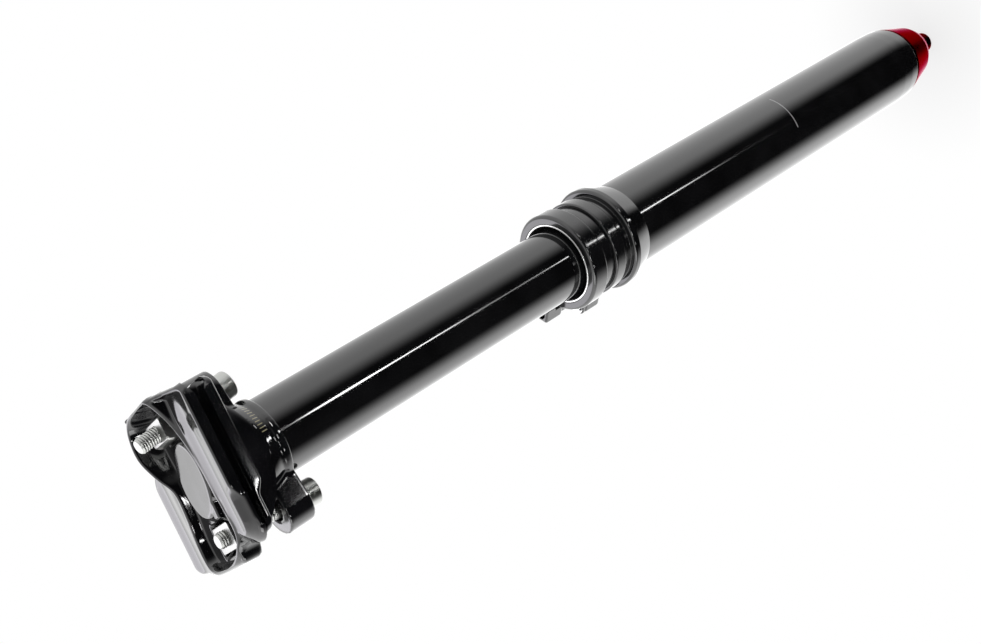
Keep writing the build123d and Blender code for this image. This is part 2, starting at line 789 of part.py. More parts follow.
# Wiper seal held under the gland nut, with its sloping crown in the mouth
wiper_top = gland_front - wiper_crown_gap
wiper_lip = wiper_base + wiper_foot_height + wiper_lip_rise
with BuildPart() as wiper_seal:
    with BuildSketch(Plane.XZ):
        with BuildLine():
            Polyline(
                (shaft_radius + open_gap, wiper_base),
                (wiper_foot_radius, wiper_base),
                (wiper_foot_radius, wiper_base + wiper_foot_height),
                (mouth_radius - sliding_fit, wiper_base + wiper_foot_height),
                (mouth_radius - sliding_fit, wiper_top),
                (mouth_radius - wiper_ring_width, wiper_top),
                (shaft_radius + sliding_fit, wiper_lip + sliding_fit),
                (shaft_radius + sliding_fit, wiper_lip - open_gap),
                close=True,
            )
        make_face()
    revolve(axis=Axis.Z)
save(wiper_seal, "wiper_seal")

# Bright ring that keeps the wiper in the nut's mouth
with BuildPart() as wiper_ring:
    with BuildSketch(Plane.XY.offset(wiper_top + bond_gap)):
        Circle(mouth_radius - bond_gap)
        Circle(mouth_radius - wiper_ring_width, mode=Mode.SUBTRACT)
    extrude(amount=wiper_crown_gap - sliding_fit)
save(wiper_ring, "wiper_ring")

# Upper shaft with the pockets of its three keys
with BuildPart() as upper_shaft:
    with BuildSketch(Plane.XY.offset(shaft_bottom)):
        Circle(shaft_radius)
        Circle(shaft_bore, mode=Mode.SUBTRACT)
    extrude(amount=shaft_top - shaft_bottom - bond_gap)
    with BuildSketch(Plane.XY.offset(key_base - bond_gap)):
        for azimuth in key_azimuths:
            with Locations(around(azimuth, key_circle, 0)[:2]):
                Circle(key_radius + bond_gap)
    extrude(amount=key_length + 2 * bond_gap, mode=Mode.SUBTRACT)
save(upper_shaft, "upper_shaft")

with BuildPart() as anti_rotation_keys:
    with BuildSketch(Plane.XY.offset(key_base)):
        for azimuth in key_azimuths:
            with Locations(around(azimuth, key_circle, 0)[:2]):
                Circle(key_radius)
    extrude(amount=key_length)
save(anti_rotation_keys, "anti_rotation_keys")

# Lower bushing on the shaft, split where the release rod passes
with BuildPart() as lower_bushing:
    with BuildSketch(Plane.XY.offset(lower_bushing_base)):
        Circle(mast_bore - sliding_fit)
        Circle(shaft_radius + bond_gap, mode=Mode.SUBTRACT)
    extrude(amount=lower_bushing_length)
    with BuildSketch(release_section):
        with Locations((rod_circle, lower_bushing_base + lower_bushing_length / 2)):
            Rectangle(2 * mast_wall + cut_over, lower_bushing_length + cut_over)
    extrude(amount=bushing_split / 2, both=True, mode=Mode.SUBTRACT)
save(lower_bushing, "lower_bushing")

# Gas cartridge inside the shaft: tube, gland, centring ring and cap
with BuildPart() as cartridge_tube:
    with BuildSketch(Plane.XY.offset(cartridge_bottom)):
        Circle(cartridge_radius)
        Circle(cartridge_bore, mode=Mode.SUBTRACT)
    extrude(amount=cartridge_top - cartridge_bottom - bond_gap)
save(cartridge_tube, "cartridge_tube")

with BuildPart() as cartridge_gland:
    with BuildSketch(Plane.XY.offset(cartridge_gland_base)):
        Circle(cartridge_bore - bond_gap)
        Circle(piston_rod_radius + sliding_fit, mode=Mode.SUBTRACT)
    extrude(amount=cartridge_gland_height)
save(cartridge_gland, "cartridge_gland")

with BuildPart() as centring_ring:
    with BuildSketch(Plane.XY.offset(cartridge_bottom + centring_ring_inset)):
        Circle(shaft_bore - bond_gap)
        Circle(cartridge_radius + bond_gap, mode=Mode.SUBTRACT)
    extrude(amount=centring_ring_height)
save(centring_ring, "centring_ring")

with BuildPart() as cartridge_cap:
    with BuildSketch(Plane.XY.offset(cartridge_top - cartridge_cap_height)):
        Circle(cartridge_bore - bond_gap)
    extrude(amount=cartridge_cap_height - bond_gap)
    with BuildSketch(Plane.XY.offset(cartridge_top - bond_gap)):
        Circle(cartridge_stud_radius)
    extrude(amount=cartridge_stud_length)
save(cartridge_cap, "cartridge_cap")

# Floating piston between the oil and the gas, with its ring
floating_groove = piston_radius - 2 * floating_seal_wire + bond_gap
floating_seal_height = floating_piston_base + floating_piston_height / 2
with BuildPart() as floating_piston:
    with BuildSketch(Plane.XY.offset(floating_piston_base)):
        Circle(piston_radius)
    extrude(amount=floating_piston_height)
    with BuildSketch(Plane.XY.offset(floating_piston_base)):
        Circle(floating_dish_radius)
    extrude(amount=floating_dish_depth, mode=Mode.SUBTRACT)
    with BuildSketch(Plane.XY.offset(floating_seal_height - floating_seal_wire)):
        Circle(cartridge_radius)
        Circle(floating_groove, mode=Mode.SUBTRACT)
    extrude(amount=2 * floating_seal_wire, mode=Mode.SUBTRACT)
save(floating_piston, "floating_piston")

with BuildPart() as floating_piston_seal:
    with BuildSketch(Plane.XZ):
        with Locations((floating_groove + floating_seal_wire, floating_seal_height)):
            Circle(floating_seal_wire - bond_gap)
    revolve(axis=Axis.Z)
save(floating_piston_seal, "floating_piston_seal")

# Head: spigot, base, yoke with its concave saddle, and the two ears
with BuildPart() as seat_head:
    with BuildSketch(Plane.XY.offset(cartridge_top + bond_gap)):
        Circle(shaft_bore - bond_gap)
    extrude(amount=spigot_length)
    with BuildSketch(Plane.XY.offset(shaft_top)):
        Circle(head_base_radius)
    extrude(amount=head_base_height)
    chamfer(seat_head.faces().sort_by(Axis.Z)[-1].edges(), head_base_edge)
    with BuildSketch(Plane.XZ):
        with BuildLine():
            Polyline(
                (-yoke_foot_half_length, shaft_top + head_base_edge),
                (yoke_foot_half_length, shaft_top + head_base_edge),
                (yoke_half_length, shaft_top + yoke_height),
                (-yoke_half_length, shaft_top + yoke_height),
                close=True,
            )
        make_face()
    extrude(amount=saddle_half_width, both=True)
    for side, reach, seat_height in (
        (1, rear_bolt_reach, rear_bolt_height),
        (-1, front_bolt_reach, front_bolt_height),
    ):
        with BuildSketch(Plane.XY.offset(seat_height + ear_clearance)):
            with Locations((side * (reach + ear_root) / 2, 0)):
                Rectangle(reach - ear_root, 2 * ear_radius)
            with Locations((side * reach, 0)):
                Circle(ear_radius)
        extrude(amount=ear_thickness)
        with BuildSketch(bolt_plane(side)):
            Circle(bolt_radius + bolt_hole_gap)
        extrude(amount=bolt_length, mode=Mode.SUBTRACT)
        with Locations(tuple(bolt_seat(side))):
            Sphere(washer_sphere + sliding_fit, mode=Mode.SUBTRACT)
    with BuildSketch(Plane(origin=(0, 0, tilt_axis), x_dir=(1, 0, 0), z_dir=(0, -1, 0))):
        Circle(cradle_radius)
    extrude(amount=saddle_half_width + cut_over, both=True, mode=Mode.SUBTRACT)
    with BuildSketch(Plane.XY.offset(cartridge_top)):
        Circle(cartridge_stud_radius + bond_gap)
    extrude(amount=cartridge_stud_length + bond_gap, mode=Mode.SUBTRACT)
save(seat_head, "seat_head")

# Lower cradle: round belly between two grooved wings
belly_top = jaw_centre_drop + jaw_centre_gap
belly_radius = cradle_radius - saddle_gap
with BuildPart() as lower_cradle:
    with BuildSketch(Plane(origin=(0, 0, tilt_axis), x_dir=clamp_x, z_dir=(0, -1, 0))):
        Circle(belly_radius)
        with Locations((0, cradle_radius - rail_plane_drop - belly_top)):
            Rectangle(2 * cradle_radius, 2 * cradle_radius, mode=Mode.SUBTRACT)
    extrude(amount=saddle_half_width, both=True)
    for side in (1, -1):
        with BuildSketch(jaw_side.offset(side * jaw_inner)):
            with Locations((0, -(jaw_face + lower_jaw_depth) / 2)):
                RectangleRounded(rail_grip_length, lower_jaw_depth - jaw_face, jaw_end_radius)
        extrude(amount=side * (jaw_half_width - jaw_inner))
    with BuildSketch(jaw_side):
        with Locations((0, -(belly_top + lower_jaw_depth) / 2)):
            Rectangle(2 * nut_reach, lower_jaw_depth - belly_top)
    extrude(amount=jaw_inner + jaw_end_radius, both=True)
    with BuildSketch(jaw_end):
        with Locations((half_spacing, 0), (-half_spacing, 0)):
            Circle(rail_radius)
    extrude(amount=half_grip + cut_over, both=True, mode=Mode.SUBTRACT)
    for side in (1, -1):
        with BuildSketch(jaw_plan):
            with Locations((side * (nut_reach + (cradle_slot_outward - cradle_slot_inward) / 2), 0)):
                SlotOverall(cradle_slot_inward + cradle_slot_outward, bolt_hole_width)
        extrude(amount=-cradle_radius, mode=Mode.SUBTRACT)
save(lower_cradle, "lower_cradle")

# Upper clamp: two grooved wings, and a tall nose with a nut pocket at each end
with BuildPart() as upper_clamp:
    for side in (1, -1):
        with BuildSketch(jaw_side.offset(side * (jaw_inner - cut_over))):
            with Locations((0, (jaw_face + upper_jaw_height) / 2)):
                RectangleRounded(rail_grip_length, upper_jaw_height - jaw_face, jaw_end_radius)
        extrude(amount=side * (jaw_half_width - jaw_inner + cut_over))
    with BuildSketch(jaw_side):
        with Locations((0, (upper_jaw_height - jaw_centre_drop) / 2)):
            RectangleRounded(rail_grip_length, upper_jaw_height + jaw_centre_drop, jaw_end_radius)
    extrude(amount=jaw_inner - open_gap, both=True)
    with BuildSketch(jaw_plan.offset(-jaw_centre_drop)):
        RectangleRounded(2 * nose_half_length, 2 * nose_foot_half_width, nose_corner)
    with BuildSketch(jaw_plan.offset(nose_height)):
        RectangleRounded(2 * nose_top_half_length, 2 * nose_half_width, nose_corner)
    loft(ruled=True)
    with BuildSketch(jaw_side):
        with BuildLine():
            Polyline(
                (-nose_half_length, nose_height + cut_over),
                (-nose_half_length, nose_height - nose_edge),
                (-nose_half_length + nose_edge, nose_height),
                (-nose_flat_start, nose_height),
                (-waist_half_length, waist_height),
                (waist_half_length, waist_height),
                (nose_flat_start, nose_height),
                (nose_half_length - nose_edge, nose_height),
                (nose_half_length, nose_height - nose_edge),
                (nose_half_length, nose_height + cut_over),
                close=True,
            )
        make_face()
    extrude(amount=jaw_half_width, both=True, mode=Mode.SUBTRACT)
    with BuildSketch(jaw_plan.offset(recess_floor)):
        RectangleRounded(2 * recess_half_length, 2 * recess_half_width, recess_corner)
    extrude(amount=nose_height, mode=Mode.SUBTRACT)
    with BuildSketch(jaw_plan.offset(recess_floor)):
        Ellipse(pad_half_length, pad_half_width)
    extrude(amount=pad_height)
    for side in (1, -1):
        with BuildSketch(jaw_plan.offset(nut_rise)):
            with Locations((side * nut_reach, 0)):
                RectangleRounded(2 * pocket_half_length, 2 * pocket_half_width, pocket_corner)
        extrude(amount=nose_height, mode=Mode.SUBTRACT)
        with BuildSketch(jaw_side):
            with Locations((side * nut_reach, nut_rise)):
                Circle(nut_radius + nut_seat_gap)
        extrude(amount=pocket_half_width, both=True, mode=Mode.SUBTRACT)
        with BuildSketch(jaw_plan.offset(nut_rise)):
            with Locations((side * (nut_reach + (clamp_slot_outward - clamp_slot_inward) / 2), 0)):
                SlotOverall(clamp_slot_inward + clamp_slot_outward, bolt_hole_width)
        extrude(amount=-nose_height, mode=Mode.SUBTRACT)
    with BuildSketch(jaw_end):
        with Locations((half_spacing, 0), (-half_spacing, 0)):
            Circle(rail_radius)
    extrude(amount=half_grip + cut_over, both=True, mode=Mode.SUBTRACT)
save(upper_clamp, "upper_clamp")

# Bolts, washers and barrel nuts, rear and front
for end, side in (("rear", 1), ("front", -1)):
    with BuildPart() as bolt:
        with BuildSketch(bolt_plane(side).offset(-bolt_head_height / 2)):
            Circle(bolt_head_radius)
        extrude(amount=bolt_head_height)
        with BuildSketch(bolt_plane(side).offset(bolt_head_height / 2)):
            Circle(bolt_radius)
        extrude(amount=bolt_length)
        chamfer(bolt.faces().sort_by(Axis.Z)[-1].edges(), bolt_tip)
        with BuildSketch(bolt_plane(side).offset(-bolt_head_height / 2)):
            RegularPolygon(hex_across_flats / 2, 6, major_radius=False)
        extrude(amount=hex_depth, mode=Mode.SUBTRACT)
    save(bolt, f"{end}_bolt")

    with BuildPart() as washer:
        with BuildSketch(bolt_plane(side).offset(bolt_head_height / 2 + bond_gap)):
            Circle(washer_radius)
            Circle(bolt_radius + bond_gap, mode=Mode.SUBTRACT)
        extrude(amount=washer_sphere)
        with Locations(tuple(bolt_seat(side))):
            Sphere(washer_sphere, mode=Mode.INTERSECT)
    save(washer, f"{end}_washer")

    with BuildPart() as barrel_nut:
        with BuildSketch(Plane(origin=nut_centre(side), x_dir=clamp_x, z_dir=(0, -1, 0))):
            Circle(nut_radius)
        extrude(amount=nut_length / 2, both=True)
        with BuildSketch(bolt_plane(side)):
            Circle(bolt_radius + thread_gap)
        extrude(amount=2 * bolt_length, mode=Mode.SUBTRACT)
    save(barrel_nut, f"{end}_barrel_nut")
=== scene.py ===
import math

import bmesh
import bpy
import numpy as np
from mathutils import Matrix


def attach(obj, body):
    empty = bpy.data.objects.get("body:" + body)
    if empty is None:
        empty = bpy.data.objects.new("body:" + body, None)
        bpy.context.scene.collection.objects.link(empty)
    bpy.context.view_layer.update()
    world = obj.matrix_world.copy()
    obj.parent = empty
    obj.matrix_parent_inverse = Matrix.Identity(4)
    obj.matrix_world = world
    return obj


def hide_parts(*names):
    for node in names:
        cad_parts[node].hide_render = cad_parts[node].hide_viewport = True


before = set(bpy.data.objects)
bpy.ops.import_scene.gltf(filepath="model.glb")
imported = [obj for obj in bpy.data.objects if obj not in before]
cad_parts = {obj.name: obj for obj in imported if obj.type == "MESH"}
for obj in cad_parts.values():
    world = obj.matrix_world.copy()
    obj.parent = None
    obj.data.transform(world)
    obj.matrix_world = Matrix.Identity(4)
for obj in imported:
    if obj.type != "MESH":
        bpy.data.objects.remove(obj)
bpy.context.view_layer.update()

scene = bpy.context.scene
mm = 0.001

# Camera
# The post is seen from the front and above, rolled so that it lies across the picture with its clamp
# at the left; the lens was worked out from the post's own lengths and diameters in the picture.
def placed(name, data):
    """New object of some data, linked to the scene."""
    made = bpy.data.objects.new(name, data)
    scene.collection.objects.link(made)
    return made


camera_place = (-17.4595, -374.6916, 512.2743)
camera_right = (-0.5397, -0.4732, -0.6963)
camera_up = (0.8415, -0.3295, -0.4282)
camera_back = (-0.0268, -0.8170, 0.5760)
camera_data = bpy.data.cameras.new("camera")
camera_data.lens = 51.376
camera_data.sensor_width = 36.0
camera_data.clip_start = 0.01
camera_data.clip_end = 20.0
camera = placed("camera", camera_data)
turn = Matrix((camera_right, camera_up, camera_back)).transposed().to_4x4()
camera.matrix_world = Matrix.Translation([c * mm for c in camera_place]) @ turn
scene.camera = camera
scene.view_settings.view_transform = "Standard"


# Studio
# A white surround with one dark opening towards the camera and below, which keeps the middle of the
# gloss black tubes black; a soft panel above, another before the bicycle; a floor that fades to white.
def link(tree, source, socket):
    """Feed a socket from another socket of its tree, or set it to a plain value."""
    if isinstance(source, bpy.types.NodeSocket):
        tree.links.new(source, socket)
    else:
        socket.default_value = source


def node(tree, kind, *sources, **settings):
    """New shader node of a kind with its settings; sources feed its first sockets, and None skips one."""
    made = tree.nodes.new("ShaderNode" + kind)
    for name, value in settings.items():
        setattr(made, name, value)
    for source, socket in zip(sources, made.inputs):
        if source is not None:
            link(tree, source, socket)
    return made


def maths(tree, operation, *operands):
    """Outcome of one Math node, whose operands are numbers or sockets."""
    return node(tree, "Math", *operands, operation=operation).outputs[0]


def product(tree, first, *others):
    """All the values multiplied together."""
    for value in others:
        first = maths(tree, "MULTIPLY", first, value)
    return first


def ramp(tree, value, low, high, bottom=0.0, top=1.0):
    """Smooth step of a value from low to high, put out between bottom and top."""
    return node(tree, "MapRange", value, low, high, bottom, top, interpolation_type="SMOOTHSTEP").outputs[0]


def near(tree, value, middle, inner, outer, at_middle=1.0, beyond=0.0):
    """Smooth step by a value's distance from a middle, from within inner to beyond outer."""
    distance = maths(tree, "ABSOLUTE", maths(tree, "SUBTRACT", value, middle))
    return ramp(tree, distance, inner, outer, at_middle, beyond)


def along(origin, axis, x_hint=(1.0, 0.0, 0.0)):
    """4x4 array that carries local (x, y, z) to a place whose z runs along an axis."""
    z = np.array(axis, dtype=float)
    z = z / np.linalg.norm(z)
    x = np.array(x_hint, dtype=float)
    x = x - z * (x @ z)
    x = x / np.linalg.norm(x)
    made = np.eye(4)
    made[:3, 0], made[:3, 1], made[:3, 2], made[:3, 3] = x, np.cross(z, x), z, origin
    return made


def soft_panel(name, place, target, width, height, power, colour=(1.0, 1.0, 1.0)):
    """Rectangular lamp at a place, turned to face a target; lengths in millimetres."""
    data = bpy.data.lights.new(name, "AREA")
    data.shape = "RECTANGLE"
    data.size = width * mm
    data.size_y = height * mm
    data.energy = power
    data.color = colour
    away = np.array(place) - np.array(target)
    seat = along(np.array(place) * mm, away, np.cross((0.0, 0.0, 1.0), away))
    placed(name, data).matrix_world = Matrix(seat.tolist())


def whole_turn(count):
    """Angles of a whole turn in even steps."""
    return np.linspace(0.0, 2 * np.pi, count, endpoint=False)


def rows_mesh(name, points, faces):
    """Mesh of points in millimetres and faces of any corner count."""
    mesh = bpy.data.meshes.new(name)
    mesh.from_pydata((points * mm).tolist(), [], faces)
    return mesh


world = bpy.data.worlds.new("studio")
world.use_nodes = True
scene.world = world
sky = world.node_tree
sky.nodes.clear()
glow = node(sky, "Background", (1.0, 1.0, 1.0, 1.0))
link(sky, glow.outputs[0], node(sky, "OutputWorld").inputs["Surface"])
# A direction is read as its side, from the opening's middle at azimuth -113, and its rise; in degrees
facing = node(sky, "VectorRotate", node(sky, "TexCoord").outputs["Generated"], rotation_type="Z_AXIS")
facing.inputs["Angle"].default_value = math.radians(113.0)
sky_x, sky_y, sky_z = node(sky, "SeparateXYZ", facing.outputs[0]).outputs
side = maths(sky, "DEGREES", maths(sky, "ARCTAN2", sky_y, sky_x))
rise = maths(sky, "DEGREES", maths(sky, "ARCSINE", sky_z))
opening = product(sky, near(sky, side, 0.0, 38.0, 84.0), ramp(sky, rise, 34.0, 62.0, 1.0, 0.0))
# The surround is brighter to the front of the bicycle than to its rear, and dimmer overhead
surround = product(sky, ramp(sky, side, -70.0, 70.0, 2.0, 1.4), ramp(sky, rise, 30.0, 75.0, 1.0, 0.62))
mirrored = product(sky, surround, maths(sky, "SUBTRACT", 1.0, opening))
# A narrow strip lamp inside the opening draws the thin line along the tubes; it stops short of the head
# and of the mast's end, and dims where the shaft meets the collar
strip_side, collar_rise, strip_light = 20.3, -36.5, 20.0
strip = product(
    sky, near(sky, side, strip_side, 0.8, 1.7), ramp(sky, rise, -47.0, -42.5),
    ramp(sky, rise, -28.2, -27.7, 1.0, 0.0), near(sky, rise, collar_rise, 1.5, 3.5, 0.15, 1.0), strip_light,
)
mirrored = maths(sky, "ADD", mirrored, strip)
# Five small lamps, each by its side, rise, radius and light, put the sparks on rounded edges
for spark_side, spark_rise, spark_size, spark_light in (
    (20.3, -28.6, 2.4, 24.0), (45.0, -6.0, 3.4, 26.0), (-24.0, 6.0, 3.0, 26.0), (12.0, 16.0, 3.4, 22.0),
    (-8.0, 34.0, 3.6, 24.0)
):
    a, b = math.radians(spark_side), math.radians(spark_rise)
    towards = (math.cos(a) * math.cos(b), math.sin(a) * math.cos(b), math.sin(b))
    likeness = node(sky, "VectorMath", facing.outputs[0], towards, operation="DOT_PRODUCT").outputs["Value"]
    off = maths(sky, "DEGREES", maths(sky, "ARCCOSINE", likeness))
    mirrored = maths(sky, "ADD", mirrored, ramp(sky, off, spark_size * 0.7, spark_size, spark_light, 0.0))
# Diffuse rays meet a plain level, the camera and clear things see white, and only gloss sees the studio
plain_level = 0.62
ray = node(sky, "LightPath").outputs
seen = maths(sky, "MAXIMUM", ray["Is Camera Ray"], ray["Is Transmission Ray"])
plain = maths(sky, "ADD", product(sky, seen, 1.0 - plain_level), plain_level)
plain = product(sky, plain, maths(sky, "SUBTRACT", 1.0, ray["Is Glossy Ray"]))
level = maths(sky, "ADD", plain, product(sky, mirrored, ray["Is Glossy Ray"]))
link(sky, level, glow.inputs["Strength"])

soft_panel("panel_back", (60, 620, 830), (0, 0, 350), 620, 420, 1.15, (0.98, 0.94, 1.06))
soft_panel("panel_left", (-620, -120, 640), (0, 0, 250), 260, 420, 0.9)

# The floor is a disc just under the valve cap, pale near the post and white further out
floor_height, floor_radius, floor_spokes = -30.76, 170.0, 96
spokes = whole_turn(floor_spokes)
disc = np.stack([floor_radius * np.cos(spokes), floor_radius * np.sin(spokes), 0 * spokes + floor_height], -1)
floor = placed("floor", rows_mesh("floor", disc, [list(range(floor_spokes))]))
floor.visible_glossy = False
floor_material = bpy.data.materials.new("floor_pale")
floor_material.use_nodes = True
ground = floor_material.node_tree
ground.nodes.clear()
apart = node(ground, "VectorMath", node(ground, "TexCoord").outputs["Object"], operation="LENGTH").outputs["Value"]
fade = ramp(ground, apart, 0.014, 0.070, 0.68, 1.0)
shown = product(ground, fade, node(ground, "LightPath").outputs["Is Camera Ray"])
pale = node(ground, "BsdfDiffuse", (0.93, 0.93, 0.935, 1.0)).outputs[0]
cover = node(ground, "MixShader", shown, pale, node(ground, "Emission").outputs[0])
link(ground, cover.outputs[0], node(ground, "OutputMaterial").inputs["Surface"])
floor.data.materials.append(floor_material)


# Mast tube
# The lower tube is drawn from 7000-series aluminium, honed inside with three keyways and a groove for the
# release rod, and hard anodised gloss black. A printed arc marks how far it has to go into the frame.
def group(name, inputs, outputs):
    """New shader node group with float or vector sockets: its tree, its input and its output sockets."""
    tree = bpy.data.node_groups.new(name, "ShaderNodeTree")
    for label, kind, value in inputs:
        socket = tree.interface.new_socket(name=label, in_out="INPUT", socket_type="NodeSocket" + kind)
        if value is not None:
            socket.default_value = value
    for label, kind in outputs:
        tree.interface.new_socket(name=label, in_out="OUTPUT", socket_type="NodeSocket" + kind)
    return tree, tree.nodes.new("NodeGroupInput").outputs, tree.nodes.new("NodeGroupOutput").inputs


def noise(tree, vector, scale, detail):
    """Noise texture over a vector, as a value about one half."""
    return node(tree, "TexNoise", vector, None, scale, detail, 0.55).outputs["Fac"]


def grain_group(name, fineness, mottle_scale, mottle_detail):
    """Group that reads a position and a fineness, and puts out a broad mottle; its height comes later."""
    inputs = [("Position", "Vector", None), ("Fineness", "Float", fineness)]
    tree, given, put = group(name, inputs, [("Height", "Float"), ("Mottle", "Float")])
    link(tree, noise(tree, given["Position"], mottle_scale, mottle_detail), put["Mottle"])
    return tree, given, put["Height"]


# Drawn grain: faint lines along the height, as drawing and polishing leave them on a tube
drawn_grain, given, height = grain_group("drawn_grain", 1500.0, 60.0, 2.0)
lines = node(drawn_grain, "VectorMath", given["Position"], (1.0, 1.0, 0.02), operation="MULTIPLY").outputs[0]
link(drawn_grain, noise(drawn_grain, lines, given["Fineness"], 3.0), height)

# Soft edge: the small radius that tumbling leaves on every machined edge
soft_edge, given, put = group("soft_edge", [("Radius", "Float", 0.0002)], [("Normal", "Vector")])
link(soft_edge, node(soft_edge, "Bevel", given["Radius"], samples=6).outputs[0], put["Normal"])


def mixed(tree, factor, first, second):
    """Mix of two colours by a factor, each a colour or a socket."""
    made = node(tree, "Mix", data_type="RGBA")
    for label, source in (("Factor", factor), ("A", first), ("B", second)):
        link(tree, source, made.inputs[label])
    return made.outputs["Result"]


def finish(name, colour, metallic, roughness, grain, fineness, depth, spread=0.06, edge=0.0, shade=0.25, index=1.5):
    """Material whose colour and roughness vary with the grain group's mottle, whose bump of a given depth
    follows the grain's height, and whose edges can be rounded by a radius."""
    made = bpy.data.materials.new(name)
    made.use_nodes = True
    tree = made.node_tree
    shader = tree.nodes["Principled BSDF"].inputs
    shader["Metallic"].default_value = metallic
    shader["IOR"].default_value = index
    skin = node(tree, "Group", node_tree=grain)
    link(tree, node(tree, "TexCoord").outputs["Object"], skin.inputs["Position"])
    skin.inputs["Fineness"].default_value = fineness
    mottle = skin.outputs["Mottle"]
    link(tree, ramp(tree, mottle, 0.25, 0.75, roughness - spread, roughness + spread), shader["Roughness"])
    dark, light = ([min(1.0, c * share) for c in colour] + [1.0] for share in (1.0 - shade, 1.0 + shade))
    link(tree, mixed(tree, ramp(tree, mottle, 0.3, 0.7), dark, light), shader["Base Color"])
    bump = node(tree, "Bump", 0.6, depth, None, skin.outputs["Height"])
    if edge > 0.0:
        corner = node(tree, "Group", node_tree=soft_edge)
        corner.inputs["Radius"].default_value = edge
        link(tree, corner.outputs["Normal"], bump.inputs["Normal"])
    link(tree, bump.outputs[0], shader["Normal"])
    return made


def printed(base, name, mark, ink):
    """Copy of a material with marks printed over its colour; mark gives their mask from the tree and the
    position's x, y and z."""
    made = base.copy()
    made.name = name
    tree = made.node_tree
    position = node(tree, "SeparateXYZ", node(tree, "TexCoord").outputs["Object"]).outputs
    paint = tree.nodes["Principled BSDF"].inputs["Base Color"]
    link(tree, mixed(tree, mark(tree, *position), paint.links[0].from_socket, ink), paint)
    return made


def moved(shell, place):
    """Shell of (points, faces) carried to a place."""
    points, faces = shell
    return points @ place[:3, :3].T + place[:3, 3], faces


def soften(corners, steps=6):
    """Closed profile of (across, height, radius) corners, each rounded by a tangent arc. With unit legs a
    and b from a corner P, and t the angle between them, the arc's centre is P + (a + b) * r / (|a + b|
    sin(t/2)), and it touches the legs at r / tan(t/2) from P."""
    least_radius = 0.004
    table = np.array(corners, dtype=float)
    spots, radii = table[:, :2], np.maximum(table[:, 2:], least_radius)
    a = np.roll(spots, 1, 0) - spots
    b = np.roll(spots, -1, 0) - spots
    a = a / np.linalg.norm(a, axis=1, keepdims=True)
    b = b / np.linalg.norm(b, axis=1, keepdims=True)
    half = np.arccos(np.clip((a * b).sum(1, keepdims=True), -0.9999, 0.9999)) / 2
    centre = spots + (a + b) / np.linalg.norm(a + b, axis=1, keepdims=True) * radii / np.sin(half)
    first = spots + a * radii / np.tan(half) - centre
    last = spots + b * radii / np.tan(half) - centre
    sweep = (np.pi - 2 * half)[:, None]
    share = np.linspace(0.0, 1.0, steps)[None, :, None]
    turned = (np.sin((1 - share) * sweep) * first[:, None] + np.sin(share * sweep) * last[:, None]) / np.sin(sweep)
    return (centre[:, None] + turned).reshape(-1, 2)


def rings_shell(rings, wrap=False):
    """Closed shell over rings (rows, turns, 3), rows running along it and columns round it. The first and
    last rows close on themselves as caps, or wrap on to each other."""
    rows, cols = rings.shape[:2]
    i, j = np.meshgrid(np.arange(rows if wrap else rows - 1), np.arange(cols), indexing="ij")
    one, side, next_row = i * cols + j, i * cols + (j + 1) % cols, (i + 1) % rows * cols - i * cols
    quads = np.stack([one, side, side + next_row, one + next_row], -1).reshape(-1, 4).tolist()
    caps = [] if wrap else [list(range(cols))[::-1], [(rows - 1) * cols + k for k in range(cols)]]
    return rings.reshape(-1, 3), quads + caps


def stacked(radii, heights, about, wrap=False):
    """Closed shell of points (r cos t, r sin t, h), with r and h by row and t by column."""
    r, h, t = np.broadcast_arrays(radii, heights, about)
    return rings_shell(np.stack([r * np.cos(t), r * np.sin(t), h], -1), wrap)


def slab(outline, low, high, soft, place):
    """Closed shell of a convex outline run from low to high along the place's z, its rims rounded: on the
    quarter-turn t the outline is drawn in by soft (1 - sin t) and stands soft (1 - cos t) from the end."""
    middle = (outline.max(0) + outline.min(0)) / 2
    reach = (outline.max(0) - outline.min(0)) / 2
    t = np.linspace(0.0, np.pi / 2, 5)
    drawn = np.concatenate([soft * (1 - np.sin(t)), soft * (1 - np.sin(t[::-1]))])
    levels = np.concatenate([low + soft * (1 - np.cos(t)), high - soft * (1 - np.cos(t[::-1]))])
    rows = middle + (outline - middle) * (1 - drawn[:, None, None] / reach)
    shell = np.concatenate([rows, np.broadcast_to(levels[:, None, None], rows.shape[:2] + (1,))], -1)
    return moved(rings_shell(shell), place)


def bore(x, y, radius, z0, z1, place):
    """Plain cylinder, for a hole."""
    outline = np.array([(x, y)]) + radius * np.stack([np.cos(few_turns), np.sin(few_turns)], -1)
    return slab(outline, z0, z1, 0.01, place)


def ring_of(corners, count=160, steps=6):
    """Surface of revolution of a closed, softened profile of (radius, height) points."""
    profile = soften(corners, steps)
    return stacked(profile[:, :1], profile[:, 1:], whole_turn(count), True)


